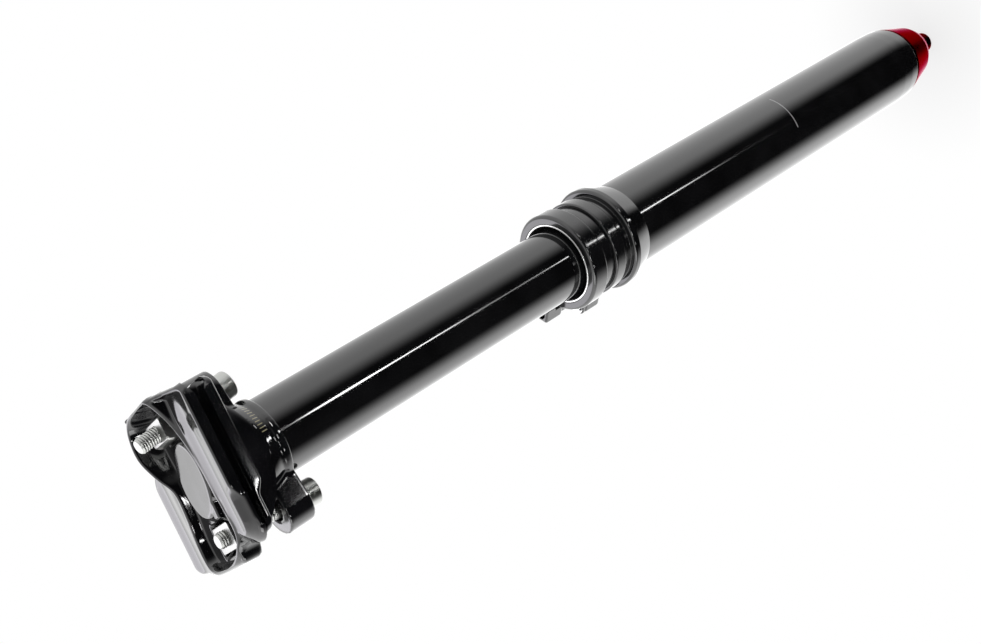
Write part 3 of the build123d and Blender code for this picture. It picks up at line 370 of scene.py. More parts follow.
def fused(name, shells, cutters, made, body, stands_for, crease=30.0, voxel=0.0, passes=0):
    """One piece of overlapping shells less its cutters, merged, shaded and in its material, that rides a
    body for a CAD node. With a voxel size its skin is rebuilt on a grid and smoothed a number of passes,
    which rounds every edge and inner corner as a forging's are."""
    points, faces, start = [], [], 0
    for shell_points, shell_faces in shells:
        points.append(shell_points)
        faces += [[start + k for k in face] for face in shell_faces]
        start += len(shell_points)
    rough = placed(name + "_rough", rows_mesh(name, np.vstack(points), faces))

    def reskin(label):
        skin = rough.modifiers.new(label, "REMESH")
        skin.mode, skin.voxel_size = "VOXEL", voxel * mm

    if voxel > 0.0:
        reskin("skin")
    spare = [rough]
    for number, cutter in enumerate(cutters):
        spare.append(placed(f"{name}_cut_{number}", rows_mesh(f"{name}_cut_{number}", *cutter)))
        taking = rough.modifiers.new(f"cut_{number}", "BOOLEAN")
        taking.operation, taking.solver, taking.object = "DIFFERENCE", "MANIFOLD", spare[-1]
    if voxel > 0.0:
        reskin("skin_2")
        calm = rough.modifiers.new("calm", "SMOOTH")
        calm.factor, calm.iterations = 0.5, passes
    done = bpy.data.meshes.new_from_object(rough.evaluated_get(bpy.context.evaluated_depsgraph_get()))
    done.name = name
    for item in spare:
        bpy.data.objects.remove(item)
    work = bmesh.new()
    work.from_mesh(done)
    bmesh.ops.remove_doubles(work, verts=work.verts, dist=1e-6)
    bmesh.ops.dissolve_degenerate(work, dist=1e-7, edges=work.edges)
    bmesh.ops.recalc_face_normals(work, faces=work.faces)
    work.to_mesh(done)
    work.free()
    done.materials.clear()
    done.polygons.foreach_set("use_smooth", np.ones(len(done.polygons), dtype=bool))
    done.polygons.foreach_set("material_index", np.zeros(len(done.polygons), dtype=np.int32))
    done.set_sharp_from_angle(angle=math.radians(crease))
    piece = placed(name, done)
    done.materials.append(made)
    piece.modifiers.new("weighted", "WEIGHTED_NORMAL").keep_sharp = True
    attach(piece, body)
    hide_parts(stands_for)


def insertion_arc(tree, x, y, z):
    """Mask of the arc: a fine line round the front of the tube at the depth it has to reach."""
    azimuth = maths(tree, "DEGREES", maths(tree, "ARCTAN2", y, x))
    return product(tree, near(tree, z, 0.0875, 0.00018, 0.00026), near(tree, azimuth, -74.0, 29.5, 30.5))


def turned_out(degrees):
    """Place on the post's axis whose x runs out at an azimuth and whose z runs up."""
    azimuth = math.radians(degrees)
    return along((0.0, 0.0, 0.0), (0.0, 0.0, 1.0), (math.cos(azimuth), math.sin(azimuth), 0.0))


turns = whole_turn(128)
few_turns = turns[::4]
beside = turned_out(125.0)
# Every round key lies half in the shaft and half in the mast
key_places = [turned_out(azimuth) for azimuth in (65.0, 185.0, 305.0)]
key_circle = 13.0
rod_groove = (13.6, 0.0, 0.8)
mast_bore, mast_radius, seat_radius, seat_height, mast_top = 14.0, 15.8, 15.5, 181.0, 187.0
gloss_black = finish(
    "gloss_black_tube", (0.0055, 0.0055, 0.006), 0.0, 0.075, drawn_grain, 1500.0, 0.000001, 0.02, shade=0.3,
    index=1.72,
)
mast_black = printed(gloss_black, "gloss_black_mast", insertion_arc, (0.4, 0.4, 0.41, 1.0))
# Profiles are corners of (radius, height, corner radius), here up the outside and down the bore
fused("mast_tube_drawn", [ring_of([
    (mast_bore, 0.0, 0.2), (15.3, 0.0, 0.4), (15.66, 5.0, 40.0), (mast_radius, 11.0, 60.0),
    (mast_radius, seat_height, 0.1), (seat_radius, seat_height, 0.05), (seat_radius, mast_top, 0.1),
    (mast_bore, mast_top, 0.1),
], 256, 4)], [bore(key_circle, 0.0, 1.6, 38.0, 190.0, place) for place in key_places] + [
    bore(*rod_groove, 12.0, 190.0, beside)
], mast_black, "mast", "mast_tube")


# Bottom cap
# A plug turned from aluminium bar, anodised crimson, threaded into the mast's lower end. Its rim meets
# the tube, a cone runs down from it, and two cheeks on its inner face carry the rocker.
def box(x0, x1, y0, y1, z0, z1, corner, soft, place):
    """Slab of a rectangle with rounded corners."""
    outline = soften([(x0, y0, corner), (x1, y0, corner), (x1, y1, corner), (x0, y1, corner)], 5)
    return slab(outline, z0, z1, soft, place)


# Turned grain: fine rings about the axis, from noise read over radius and height alone
turned_grain, given, height = grain_group("turned_grain", 3500.0, 90.0, 2.0)
x, y, z = node(turned_grain, "SeparateXYZ", given["Position"]).outputs
squares = (maths(turned_grain, "POWER", x, 2.0), maths(turned_grain, "POWER", y, 2.0))
radius = maths(turned_grain, "SQRT", maths(turned_grain, "ADD", *squares))
rings = node(turned_grain, "CombineXYZ", radius, z).outputs[0]
link(turned_grain, noise(turned_grain, rings, given["Fineness"], 4.0), height)

# As at the release, but x outwards, y up and z sideways
section = beside[:, (0, 2, 1, 3)] * (1.0, 1.0, -1.0, 1.0)
crimson = finish(
    "crimson_anodised", (0.036, 0.0022, 0.008), 1.0, 0.2, turned_grain, 5200.0, 0.000002, 0.05, shade=0.12
)
crimson.node_tree.nodes["Principled BSDF"].inputs["Specular Tint"].default_value = (0.75, 0.2, 0.3, 1.0)
plug_radius, groove_floor, rim_radius, pocket_radius, gas_way = 13.95, 12.1, 14.9, 5.0, 1.5
cap_face, pocket_top, rod_seat, rod_seat_radius = -19.1, -8.1, 2.0, 3.02
fused("bottom_cap_turned", [
    ring_of([
        (rod_seat_radius, 12.0, 0.3), (plug_radius, 12.0, 0.4), (plug_radius, 5.4, 0.1), (groove_floor, 5.4, 0.1),
        (groove_floor, 3.6, 0.1), (plug_radius, 3.6, 0.1), (plug_radius, 0.0, 0.05), (rim_radius, 0.0, 0.3),
        (rim_radius, -1.6, 0.7), (11.3, -15.5, 1.2), (9.5, cap_face, 0.8), (pocket_radius, cap_face, 0.4),
        (pocket_radius, pocket_top, 0.2), (gas_way, pocket_top, 0.2), (gas_way, rod_seat, 0.2),
        (rod_seat_radius, rod_seat, 0.2),
    ])
] + [
    box(4.9, 9.1, low, high, 11.6, 18.2, 0.5, 0.4, beside) for low, high in ((-3.0, -1.3), (1.3, 3.0))
], [bore(7.0, 15.6, 0.77, -4.0, 4.0, section)], crimson, "mast", "bottom_cap")


# Cap O-ring
# Nitrile rubber, moulded, sitting in the cap's groove; it keeps water out of the mast.
def dress(name, made):
    """Give a CAD node's object a material in each of its slots."""
    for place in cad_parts[name].material_slots:
        place.link = "OBJECT"
        place.material = made


# Blast grain: the matt, pebbled skin that bead blasting leaves under the anodising
blast_grain, given, height = grain_group("blast_grain", 2600.0, 120.0, 3.0)
pebbles = node(blast_grain, "TexVoronoi", given["Position"], None, given["Fineness"], feature="SMOOTH_F1")
fine = product(blast_grain, noise(blast_grain, given["Position"], 5200.0, 2.0), 0.5)
link(blast_grain, maths(blast_grain, "ADD", pebbles.outputs["Distance"], fine), height)

rubber = finish(
    "seal_rubber", (0.022, 0.022, 0.023), 0.0, 0.5, blast_grain, 1800.0, 0.000004, 0.08, edge=0.0003
)
dress("cap_o_ring", rubber)


# Charge valve
# A stem turned from brass and pressed into the cap's pocket; the gas spring is filled through it.
brass = finish(
    "brass_turned", (0.63, 0.42, 0.14), 1.0, 0.28, turned_grain, 3000.0, 0.000002, 0.06, edge=0.0002, shade=0.1
)
dress("charge_valve", brass)


# Valve core
# The sprung pin of the filling valve, turned from steel and screwed into the stem.
bright_steel = finish(
    "bright_steel", (0.78, 0.78, 0.79), 1.0, 0.38, turned_grain, 3000.0, 0.000002, 0.06, edge=0.0002, shade=0.1
)
dress("valve_core", bright_steel)


# Valve cap
# A dust cap turned from aluminium and anodised crimson like the plug, screwed over the stem, with a
# dimple in its face.
fused("valve_cap_turned", [ring_of([
    (0.0, -30.12, 0.0), (1.6, -30.12, 0.1), (1.6, -30.72, 0.2), (4.4, -30.72, 0.9), (4.4, -19.12, 0.4),
    (2.95, -19.12, 0.2), (2.95, -29.12, 0.2), (0.0, -29.12, 0.0),
])], [], crimson, "mast", "valve_cap")


# Piston rod
# A ground steel rod, bored through for gas and the long valve pin, standing in the bottom cap.
dress("piston_rod", bright_steel)


# Piston
# Turned from aluminium and held on the rod's spigot; the cartridge slides over it.
bare_aluminium = finish(
    "bare_aluminium", (0.72, 0.73, 0.74), 1.0, 0.3, turned_grain, 2600.0, 0.000003, 0.06, edge=0.0002, shade=0.08
)
dress("piston", bare_aluminium)


# Piston seal
# A moulded ring of nitrile rubber in the piston's groove.
dress("piston_seal", rubber)


# Valve pin
# A thin steel pin down the piston rod, whose head closes the oil window; the rocker lifts it.
dress("valve_pin", bright_steel)


# Valve rocker
# A stamped steel rocker between the cap's cheeks; the release rod presses its outer end.
dress("valve_rocker", bright_steel)


# Rocker pin
# A plain steel pin pressed through both cheeks.
dress("rocker_pin", bright_steel)


# Actuator rod
# A long thin steel rod in the mast's groove, pushed down by the release lever's toe.
dress("actuator_rod", bright_steel)


# Upper bushing
# A split ring moulded from filled acetal, which guides the shaft in the mast's upper end.
polymer = finish(
    "bushing_polymer", (0.46, 0.42, 0.33), 0.0, 0.45, blast_grain, 2200.0, 0.000003, 0.06, edge=0.0002
)
dress("upper_bushing", polymer)


# Collar body
# Turned from aluminium bar, bonded over the mast's seat and anodised black: a flared flange, a step for
# the lever ring and a threaded neck. A slot in its step lets the lever's toe reach the rod.
anodised_black = finish(
    "anodised_black_turned", (0.0055, 0.0055, 0.0062), 0.0, 0.12, turned_grain, 4200.0, 0.000001, 0.03,
    index=1.72,
)
flange_radius, step_radius, neck_radius, neck_bore, seal_bore = 18.8, 16.4, 15.3, 14.2, 12.9
fused("collar_body_turned", [ring_of([
    (15.52, 181.02, 0.1), (16.25, 181.02, 0.15), (flange_radius, 189.0, 1.2), (flange_radius, 191.5, 1.1),
    (step_radius, 191.5, 0.2), (step_radius, 194.5, 0.2), (neck_radius, 194.5, 0.1), (neck_radius, 207.0, 0.15),
    (neck_bore, 207.0, 0.1), (neck_bore, 203.0, 0.1), (seal_bore, 203.0, 0.1), (seal_bore, 187.02, 0.1),
    (15.52, 187.02, 0.1),
])], [
    box(12.4, 20.4, -1.4, 1.4, 191.5, 195.5, 0.2, 0.1, beside), bore(*rod_groove, 186.0, 193.0, beside),
], anodised_black, "mast", "collar_body")


# Seal washer
# A flat steel ring at the bottom of the neck's pocket, which the O-ring seats on.
dress("seal_washer", bright_steel)


# Shaft O-ring
# Nitrile rubber, moulded; it wipes the shaft below the wiper.
dress("shaft_o_ring", rubber)


# Lever ring
# Turned and milled from aluminium, anodised black: a ring gripped between collar and gland nut, with a
# clevis on its outside whose slot holds the lever under a thin roof.
def stop_holes(low, high):
    """The two screw holes that clevis and cable stop share, from one height to another."""
    return [bore(23.0, sideways, 1.02, low, high, beside) for sideways in (-4.6, 4.6)]


clevis_half_width = 6.5
fused("lever_ring_turned", [
    ring_of([(15.35, 194.55, 0.2), (17.2, 194.55, 0.6), (17.2, 199.8, 0.6), (15.35, 199.8, 0.2)]),
    box(16.9, 25.0, 192.0, 199.5, -clevis_half_width, clevis_half_width, 0.9, 0.8, section),
], [
    box(14.0, 26.0, -2.8, 2.8, 191.0, 198.3, 0.3, 0.1, beside), bore(19.2, 195.5, 1.52, -8.0, 8.0, section),
    box(16.4, 22.8, -0.8, 0.8, 198.0, 201.0, 0.2, 0.1, beside), *stop_holes(195.0, 200.5),
    bore(0.0, 0.0, 15.36, 190.0, 202.0, np.eye(4)),
], anodised_black, "mast", "lever_ring", 40.0, 0.24, 3)


# Cable stop
# Milled from aluminium and anodised black: a foot screwed on the clevis and a bar up past the gland nut,
# whose head is bored for the cable housing's ferrule.
fused("cable_stop_milled", [
    box(17.22, 25.0, -clevis_half_width, clevis_half_width, 199.52, 201.1, 1.0, 0.35, beside),
    box(18.6, 21.8, -2.8, 2.8, 200.2, 216.9, 0.5, 0.3, beside),
    box(17.95, 22.5, 208.8, 217.0, -3.2, 3.2, 0.9, 0.6, section),
    box(16.7, 21.8, 212.42, 217.0, -3.2, 3.2, 0.7, 0.6, section),
], [
    bore(19.6, 0.0, 0.8, 196.0, 220.0, beside), bore(19.6, 0.0, 2.15, 213.0, 220.0, beside),
    *stop_holes(198.0, 203.0),
], anodised_black, "mast", "cable_stop", 40.0, 0.2, 3)


# Stop screws
# Two M2 socket screws of steel that hold the cable stop on the clevis.
dress("stop_screws", bright_steel)


# Lever pin
# A plain steel pin through the clevis, the pivot of the release lever.
dress("lever_pin", bright_steel)


# Release lever
# Machined from aluminium and anodised black; the cable pulls its nose up and its toe presses the rod.
dress("release_lever", anodised_black)


# Cable anchor screw
# A steel grub screw in the lever's nose that pinches the cable.
dress("cable_anchor_screw", bright_steel)


# Gland nut
# Turned from aluminium and anodised black; it screws on the neck, grips the lever ring with its skirt and
# carries the wiper in its mouth.
fused("gland_nut_turned", [ring_of([
    (15.35, 199.85, 0.1), (16.0, 199.85, 0.3), (16.0, 204.5, 0.35), (17.7, 204.5, 1.3), (17.7, 212.0, 1.3),
    (14.6, 212.0, 0.25), (14.6, 208.3, 0.1), (15.35, 208.3, 0.1),
])], [], anodised_black, "mast", "gland_nut")


# Wiper seal
# Moulded rubber with a foot held under the nut's shoulder and a lip that slopes in to the shaft.
fused("wiper_seal_moulded", [ring_of([
    (12.9, 207.05, 0.15), (15.2, 207.05, 0.2), (15.2, 208.25, 0.2), (14.55, 208.25, 0.1), (14.55, 211.1, 0.1),
    (13.8, 211.1, 0.3), (12.55, 208.15, 0.03), (12.55, 207.65, 0.03),
])], [], rubber, "mast", "wiper_seal")


# Wiper ring
# A thin ring turned from stainless steel, pressed in over the wiper; it is the bright line in the mouth.
satin_silver = finish(
    "satin_silver_ring", (0.8, 0.8, 0.79), 0.85, 0.3, turned_grain, 2600.0, 0.000002, 0.05, shade=0.06
)
fused("wiper_ring_turned", [ring_of([
    (13.82, 211.12, 0.1), (14.57, 211.12, 0.1), (14.57, 211.97, 0.25), (13.82, 211.97, 0.3),
])], [], satin_silver, "mast", "wiper_ring")


# Upper shaft
# The sliding tube, drawn from aluminium, ground and polished, and anodised gloss black; three pockets
# near its lower end hold the keys.
shaft_bore, shaft_radius, shaft_foot, shaft_end = 11.0, 12.5, 142.0, 338.48
fused("upper_shaft_drawn", [ring_of([
    (shaft_bore, shaft_foot, 0.1), (shaft_radius, shaft_foot, 0.3), (shaft_radius, shaft_end, 0.15),
    (shaft_bore, shaft_end, 0.1),
], 224, 4)], [bore(key_circle, 0.0, 1.52, 159.98, 174.02, place) for place in key_places],
    gloss_black, "shaft", "upper_shaft")


# Anti-rotation keys
# Three brass pins, half in the shaft and half in the mast's keyways, that keep the saddle from turning.
dress("anti_rotation_keys", brass)


# Lower bushing
# Moulded from filled acetal round the shaft's lower end; it slides in the mast.
dress("lower_bushing", polymer)


# Cartridge tube
# The gas spring's cylinder, drawn from aluminium and left bare, hung from the head inside the shaft.
dress("cartridge_tube", bare_aluminium)


# Cartridge gland
# An aluminium plug screwed into the cartridge's mouth, which the piston rod slides through.
dress("cartridge_gland", bare_aluminium)


# Centring ring
# Turned from aluminium; it keeps the cartridge in the middle of the shaft.
dress("centring_ring", bare_aluminium)


# Cartridge cap
# The cylinder's upper plug, with a stud that screws into the head.
dress("cartridge_cap", bare_aluminium)


# Floating piston
# An aluminium disc between the oil and the gas, dished to save weight.
dress("floating_piston", bare_aluminium)


# Floating piston seal
# A rubber O-ring in the floating piston's groove.
dress("floating_piston_seal", rubber)


# Head
# The forged top of the sliding shaft: a spigot bonded into the tube, a round base, a body with the
# concave saddle that the cradle tips in, and an ear on each side for a bolt's spherical washer.
def smoother(value, low, high):
    """Cubic step 3x^2 - 2x^3 of x, the share of the way from low to high, held to 0..1."""
    x = np.clip((value - low) / (high - low), 0.0, 1.0)
    return x * x * (3 - 2 * x)


def angle_ticks(tree, x, y, z):
    """Mask of the saddle angle's ticks: every 5 degrees along a band round the near flank."""
    azimuth = maths(tree, "DEGREES", maths(tree, "ARCTAN2", y, x))
    share = maths(tree, "FRACT", maths(tree, "DIVIDE", maths(tree, "ADD", azimuth, 400.0), 5.0))
    return product(
        tree, near(tree, share, 0.5, 0.09, 0.15), near(tree, azimuth, -60.0, 23.0, 23.6),
        near(tree, z, 0.34285, 0.0008, 0.00095),
    )


def bolt_place(side, reach, height):
    """Place at the middle of a bolt's washer ball, whose z runs up the bolt to its nut."""
    seat = np.array([side * reach, 0.0, height])
    nut = (jaw_frame @ np.array([side * nut_reach, 0.0, nut_level, 1.0]))[:3]
    return along(seat, nut - seat, (0.0, 1.0, 0.0))


# The jaw frame lies between the jaws at the rails' plane, its x to the rear along the rails
lean = math.radians(6.0)
jaw_frame = along(
    (-0.8676, 0.0, 360.4455), (math.sin(lean), 0.0, math.cos(lean)), (math.cos(lean), 0.0, -math.sin(lean))
)
# Each bolt's end of the post, side, reach from the axis and height of its washer's ball
bolt_seats = (("rear", 1, 19.4, 340.9), ("front", -1, 19.8, 336.0))
nut_reach, nut_level = 17.4, 5.8
shaft_top, tilt_axis, saddle_radius = 338.5, 368.7, 24.0
ear_radius, ear_root, ear_flare, ear_under, ear_over = 6.9, 6.0, 0.34, 2.55, 11.55
bolt_way, ball_radius = 3.3, 6.05
forged_black = finish(
    "anodised_black_forged", (0.0055, 0.0055, 0.0065), 0.0, 0.09, blast_grain, 900.0, 0.00000015, 0.02,
    index=1.72,
)
head_black = printed(forged_black, "anodised_black_head", angle_ticks, (0.4, 0.36, 0.22, 1.0))
# The body's plan is a superellipse whose half length, half width and power follow the height above the
# shaft: a disc with rounded rims at the base, and over it a rounded oblong that widens upwards
above = np.array([0.0, 0.35, 2.2, 2.6, 3.0, 4.0, 5.5, 7.0, 8.5, 10.0, 11.2, 12.0])[:, None]
base_marks = [0.0, 0.35, 2.2, 2.6, 3.0, 12.0]
half_long = np.interp(above, base_marks, [13.45, 13.8, 13.8, 13.45, 13.2, 15.2])
half_wide = np.interp(above, base_marks, [13.45, 13.8, 13.8, 13.45, 13.0, 13.5])
power = np.interp(above, [0.0, 2.6, 6.0, 12.0], [2.0, 2.0, 2.35, 2.7])
plan = (np.abs(np.cos(turns) / half_long) ** power + np.abs(np.sin(turns) / half_wide) ** power) ** (-1 / power)
solids = [stacked(plan, shaft_top + above, turns), stacked(10.95, np.array([[320.1], [338.8]]), turns)]
holes = []
for _, hand, reach, height in bolt_seats:
    # An ear is round at its outer end, and its root flares as it runs into the body
    ear_x, ear_y = hand * reach + ear_radius * np.cos(turns), ear_radius * np.sin(turns)
    inward = reach - hand * ear_x
    flare = 1.0 + ear_flare * np.clip(inward / ear_radius, 0.0, 1.0)
    ear = (np.where(inward >= 0, hand * ear_root, ear_x), np.where(inward >= 0, ear_y * flare, ear_y))
    levels = height + np.array([[ear_under], [ear_over]])
    solids.append(rings_shell(np.stack(np.broadcast_arrays(*ear, levels), -1)))
    place = bolt_place(hand, reach, height)
    holes.append(moved(stacked(bolt_way, np.array([[-2.0], [20.0]]), few_turns), place))
    ball_levels = ball_radius * np.linspace(-1.0, 1.0, 24)[1:-1, None]
    holes.append(moved(stacked(np.sqrt(ball_radius**2 - ball_levels**2), ball_levels, few_turns), place))
saddle = stacked(saddle_radius, np.array([[-30.0], [30.0]]), whole_turn(256))
holes.append(moved(saddle, along((0.0, 0.0, tilt_axis), (0.0, -1.0, 0.0))))
fused("seat_head_forging", solids, holes, head_black, "shaft", "seat_head", 50.0, 0.36, 8)


# Lower cradle
# The mating forging below the rails: two grooved wings on a round belly that tips on the head's saddle.
def higher(first, second, blend):
    """Larger of two heights with a rounded seam: their mean plus half the root of their squared
    difference and the squared blend."""
    return (first + second + np.sqrt((first - second) ** 2 + blend * blend)) / 2


def fillet_drop(distance, radius):
    """Depth of a quarter-round of a radius below its edge's level, at a distance in from the edge."""
    inward = np.clip(radius - distance, 0.0, radius)
    return radius - np.sqrt(np.maximum(radius * radius - inward * inward, 0.0))


def rounded_off(s, side, length, tip, edge):
    """Depth that rounding takes off a jaw of a half length at its ends and along its outer edges."""
    return np.maximum(fillet_drop((1 - np.abs(s)) * length, tip), fillet_drop(jaw_half_width - side, edge))


def between(keys, spacing):
    """Samples from key to key, evenly spaced; every other one, keys included, makes the coarser row."""
    spans = [np.linspace(a, b, 2 * max(1, round((b - a) / spacing / 2)) + 1)[:-1] for a, b in zip(keys, keys[1:])]
    return np.append(np.concatenate(spans), keys[-1])


def jaw_grid(half_keys, half_key_spacing, side_keys, side_spacing):
    """Grid of shares of the half length and of places across, both mirrored about the middle."""
    rows, cols = ([-k for k in keys] + keys[::-1] for keys in (half_keys, side_keys))
    return np.meshgrid(between(rows, half_key_spacing), between(cols, side_spacing), indexing="ij")


def sheet(plan_of, height_of, s, y):
    """Grid of points (u, y, height), with u from the plan at the share s and the place across y."""
    u = plan_of(s, y)
    return np.stack([u, y, height_of(u, y, s)], -1)


def cells(numbers, order):
    """Corners of every cell in a grid of point numbers, taken in an order."""
    corners = (numbers[:-1, :-1], numbers[1:, :-1], numbers[1:, 1:], numbers[:-1, 1:])
    return np.stack([corners[k] for k in order], -1).reshape(-1, 4)


def plate(fine, coarse, place):
    """Closed shell from two sheets over one plan: fine, and coarse, which has every other sample of it.
    The sheets' borders are joined by five-cornered faces."""
    count = fine.shape[0] * fine.shape[1]
    grid = np.arange(count).reshape(fine.shape[:2])
    few = count + np.arange(coarse.shape[0] * coarse.shape[1]).reshape(coarse.shape[:2])
    rim, few_rim = (np.concatenate([g[0, :-1], g[:-1, -1], g[-1, :0:-1], g[:0:-1, 0]]) for g in (grid, few))
    fans = np.stack([rim[0::2], rim[1::2], np.roll(rim, -2)[0::2], np.roll(few_rim, -1), few_rim], -1)
    faces = cells(grid, (0, 1, 2, 3)).tolist() + cells(few, (0, 3, 2, 1)).tolist() + fans.tolist()
    return moved((np.vstack([fine.reshape(-1, 3), coarse.reshape(-1, 3)]), faces), place)


def wing_taper(y):
    """Share of the way from the nose's edge to the wing's tip."""
    return np.clip((np.abs(y) - nose_half_width) / (jaw_half_width - nose_half_width), 0.0, 1.0)


def rail_groove(y):
    """Half height of the rails' circles above and below their plane."""
    return np.sqrt(np.clip(rail_radius**2 - (np.abs(y) - half_spacing) ** 2, 0.0, None))


def cradle_plan(s, y):
    """Plan of the cradle: its wings run out as the clamp's do, and its middle stops short at the belly."""
    side = np.abs(y)
    wing_rear = 24.4 - 0.3 * wing_taper(y)
    wing_front = np.where(y > 0, 24.4 - 1.6 * wing_taper(y), 22.0 - 0.5 * wing_taper(y))
    middle = 21.3 - 0.6 * (side / 13.0) ** 2
    share = smoother(side, 12.6, 16.2)
    rounding = fillet_drop(jaw_half_width - side, 3.0)
    return s * (middle + (np.where(s > 0, wing_rear, wing_front) - middle) * share - rounding)


def cradle_under(u, y, s):
    """Underside of the cradle: flat wings, and a belly whose section is a circle about the tilt axis and
    whose flanks flare out to the wings."""
    side = np.abs(y)
    turned = np.where(y < 0, -u, u)
    wing = -4.7 + 2.3 * smoother(turned, 7.5, 12.5) * smoother(side, 15.0, 18.0)
    belly = tilt_rise - np.sqrt(np.clip(belly_radius**2 - u * u, 1.0, None))
    belly = belly + 4.2 * np.clip(side - belly_half_width, 0.0, None)
    under = np.where(side < belly_half_width, np.minimum(belly, -2.6), -higher(-wing, -belly, 0.6))
    tip = np.where(side > 14.5, np.where(turned > 0, 2.0, 1.7), 0.8)
    return under + rounded_off(s, side, 25.0, tip, 0.9)


def cradle_top(u, y, s):
    """Upper side of the cradle: the jaw faces with their rail grooves, and the lower middle."""
    side = np.abs(y)
    top = np.minimum(np.where(side < 13.9, -2.2, -0.4), np.where(side > 14.0, -rail_groove(y), 9.0))
    return np.maximum(top - rounded_off(s, side, 25.0, 2.3, 0.3), cradle_under(u, y, s) + 0.25)


jaw_half_width, nose_half_width, rail_radius, half_spacing = 25.3, 9.6, 3.5, 22.0
belly_radius, belly_half_width, tilt_rise = 23.95, 13.3, 8.3
end_keys = [1.0, 0.955, 0.3]
s_grid, y_grid = jaw_grid(end_keys, 0.0098, [jaw_half_width, 24.3, 18.5, 14.2, 13.2], 0.26)
lower = sheet(cradle_plan, cradle_under, s_grid, y_grid)
upper = sheet(cradle_plan, cradle_top, s_grid[::2, ::2], y_grid[::2, ::2])
cradle = plate(lower, upper, jaw_frame)
fused("saddle_cradle_lower", [cradle], [], forged_black, "clamp", "lower_cradle", 38.0)


# Upper clamp
# A forging of 7000-series aluminium, machined underneath with the two rail grooves, tumbled and gloss
# anodised. Each end holds a barrel nut in a bowl; the two bowls and the pad between them share one rim.
def spline_loop(marks, steps):
    """Closed curve through the marks: from each p1 to p2 the Catmull-Rom cubic of p0, p1, p2 and p3."""
    p0, p1, p2, p3 = (np.roll(marks, k, 0)[:, None] for k in (1, 0, -1, -2))
    x = np.linspace(0.0, 1.0, steps, endpoint=False)[None, :, None]
    curve = 2 * p1 + (p2 - p0) * x + (2 * p0 - 5 * p1 + 4 * p2 - p3) * x**2 + (3 * p1 - p0 - 3 * p2 + p3) * x**3
    return (curve / 2).reshape(-1, marks.shape[1])


def to_line(u, y, line, closed):
    """For each grid point, its distance from a line of (u, y, height) marks, the line's height there, and
    whether the point lies inside, if the line is closed."""
    ends = np.roll(line, -1, 0) if closed else line[1:]
    starts = line if closed else line[:-1]
    best = np.full(u.shape, 1e9)
    level = np.zeros(u.shape)
    inside = np.zeros(u.shape, dtype=bool)
    for a, b in zip(starts, ends):
        leg = b - a
        x = np.clip(((u - a[0]) * leg[0] + (y - a[1]) * leg[1]) / (leg[0] ** 2 + leg[1] ** 2), 0.0, 1.0)
        away = np.hypot(u - a[0] - x * leg[0], y - a[1] - x * leg[1])
        nearer = away < best
        best = np.where(nearer, away, best)
        level = np.where(nearer, a[2] + x * leg[2], level)
        if closed and a[1] != b[1]:
            crossing = (y > min(a[1], b[1])) & (y <= max(a[1], b[1]))
            inside ^= crossing & (u < a[0] + (y - a[1]) / leg[1] * leg[0])
    return best, level, inside


def calmed(level, passes):
    """Heights drawn halfway to their four neighbours' mean, a number of times; the border stays."""
    level = level.copy()
    for _ in range(passes):
        mean = (level[:-2, 1:-1] + level[2:, 1:-1] + level[1:-1, :-2] + level[1:-1, 2:]) / 4
        level[1:-1, 1:-1] = (level[1:-1, 1:-1] + mean) / 2
    return level


def clamp_plan(s, y):
    """Plan of the upper clamp: u is the share s of a half-length that is greatest over the nose and falls
    evenly to the wings' tips, but the near wing ends at the front in a ball."""
    rear = clamp_half_length - 1.9 * wing_taper(y)
    front = clamp_half_length - 3.6 * wing_taper(y)
    ball = ball_u + np.sqrt(np.clip(lobe_radius**2 - (y + ball_y) ** 2, 10.0, None))
    front = np.where(y < 0, front + (ball - front) * smoother(-y, 10.5, 15.5), front)
    rounding = fillet_drop(jaw_half_width - np.abs(y), 3.4)
    return s * (np.where(s > 0, rear, front) - np.where((s < 0) & (y < 0), 0.0, rounding))


def wing_top(u, y):
    """Top of the wings: a shallow valley along each, the far one rolled down to the rear, and the ball."""
    side = np.abs(y)
    base = 4.8 - 0.45 * np.sin(np.pi * np.clip((side - 13.5) / 11.8, 0.0, 1.0)) ** 2
    base = base - np.where(y > 0, 2.2, 0.0) * smoother(u, 4.0, 15.0) * smoother(side, 14.5, 19.0)
    past = np.clip(-ball_u - u, 0.0, None)
    lobe = np.sqrt(np.clip(lobe_radius**2 - past**2 - (y + ball_y) ** 2, 0.0, None)) - 2.0
    return base + (np.minimum(base, lobe) - base) * smoother(-u, 6.0, 11.0) * smoother(-y, 12.5, 14.0)


def bowl_floor(u, y):
    """Floor within the rim: the bowls' bottom, the oval pad turned a little about the post, and a tongue."""
    c, d = math.cos(pad_turn), math.sin(pad_turn)
    pad_u, pad_y = u - 0.8, y + 2.0
    oval = np.sqrt(((pad_u * c + pad_y * d) / 12.4) ** 2 + ((pad_y * c - pad_u * d) / 9.6) ** 2)
    floor_level = bowl_level + 2.3 * (1 - smoother(oval, 0.9, 1.04))
    along_u = np.clip(u, -12.2, -8.0)
    tongue = np.hypot(u - along_u, y + 5.6 + (along_u + 12.2) * 0.12)
    return np.maximum(floor_level, bowl_level + 2.2 * (1 - smoother(tongue, 1.5, 2.3)))


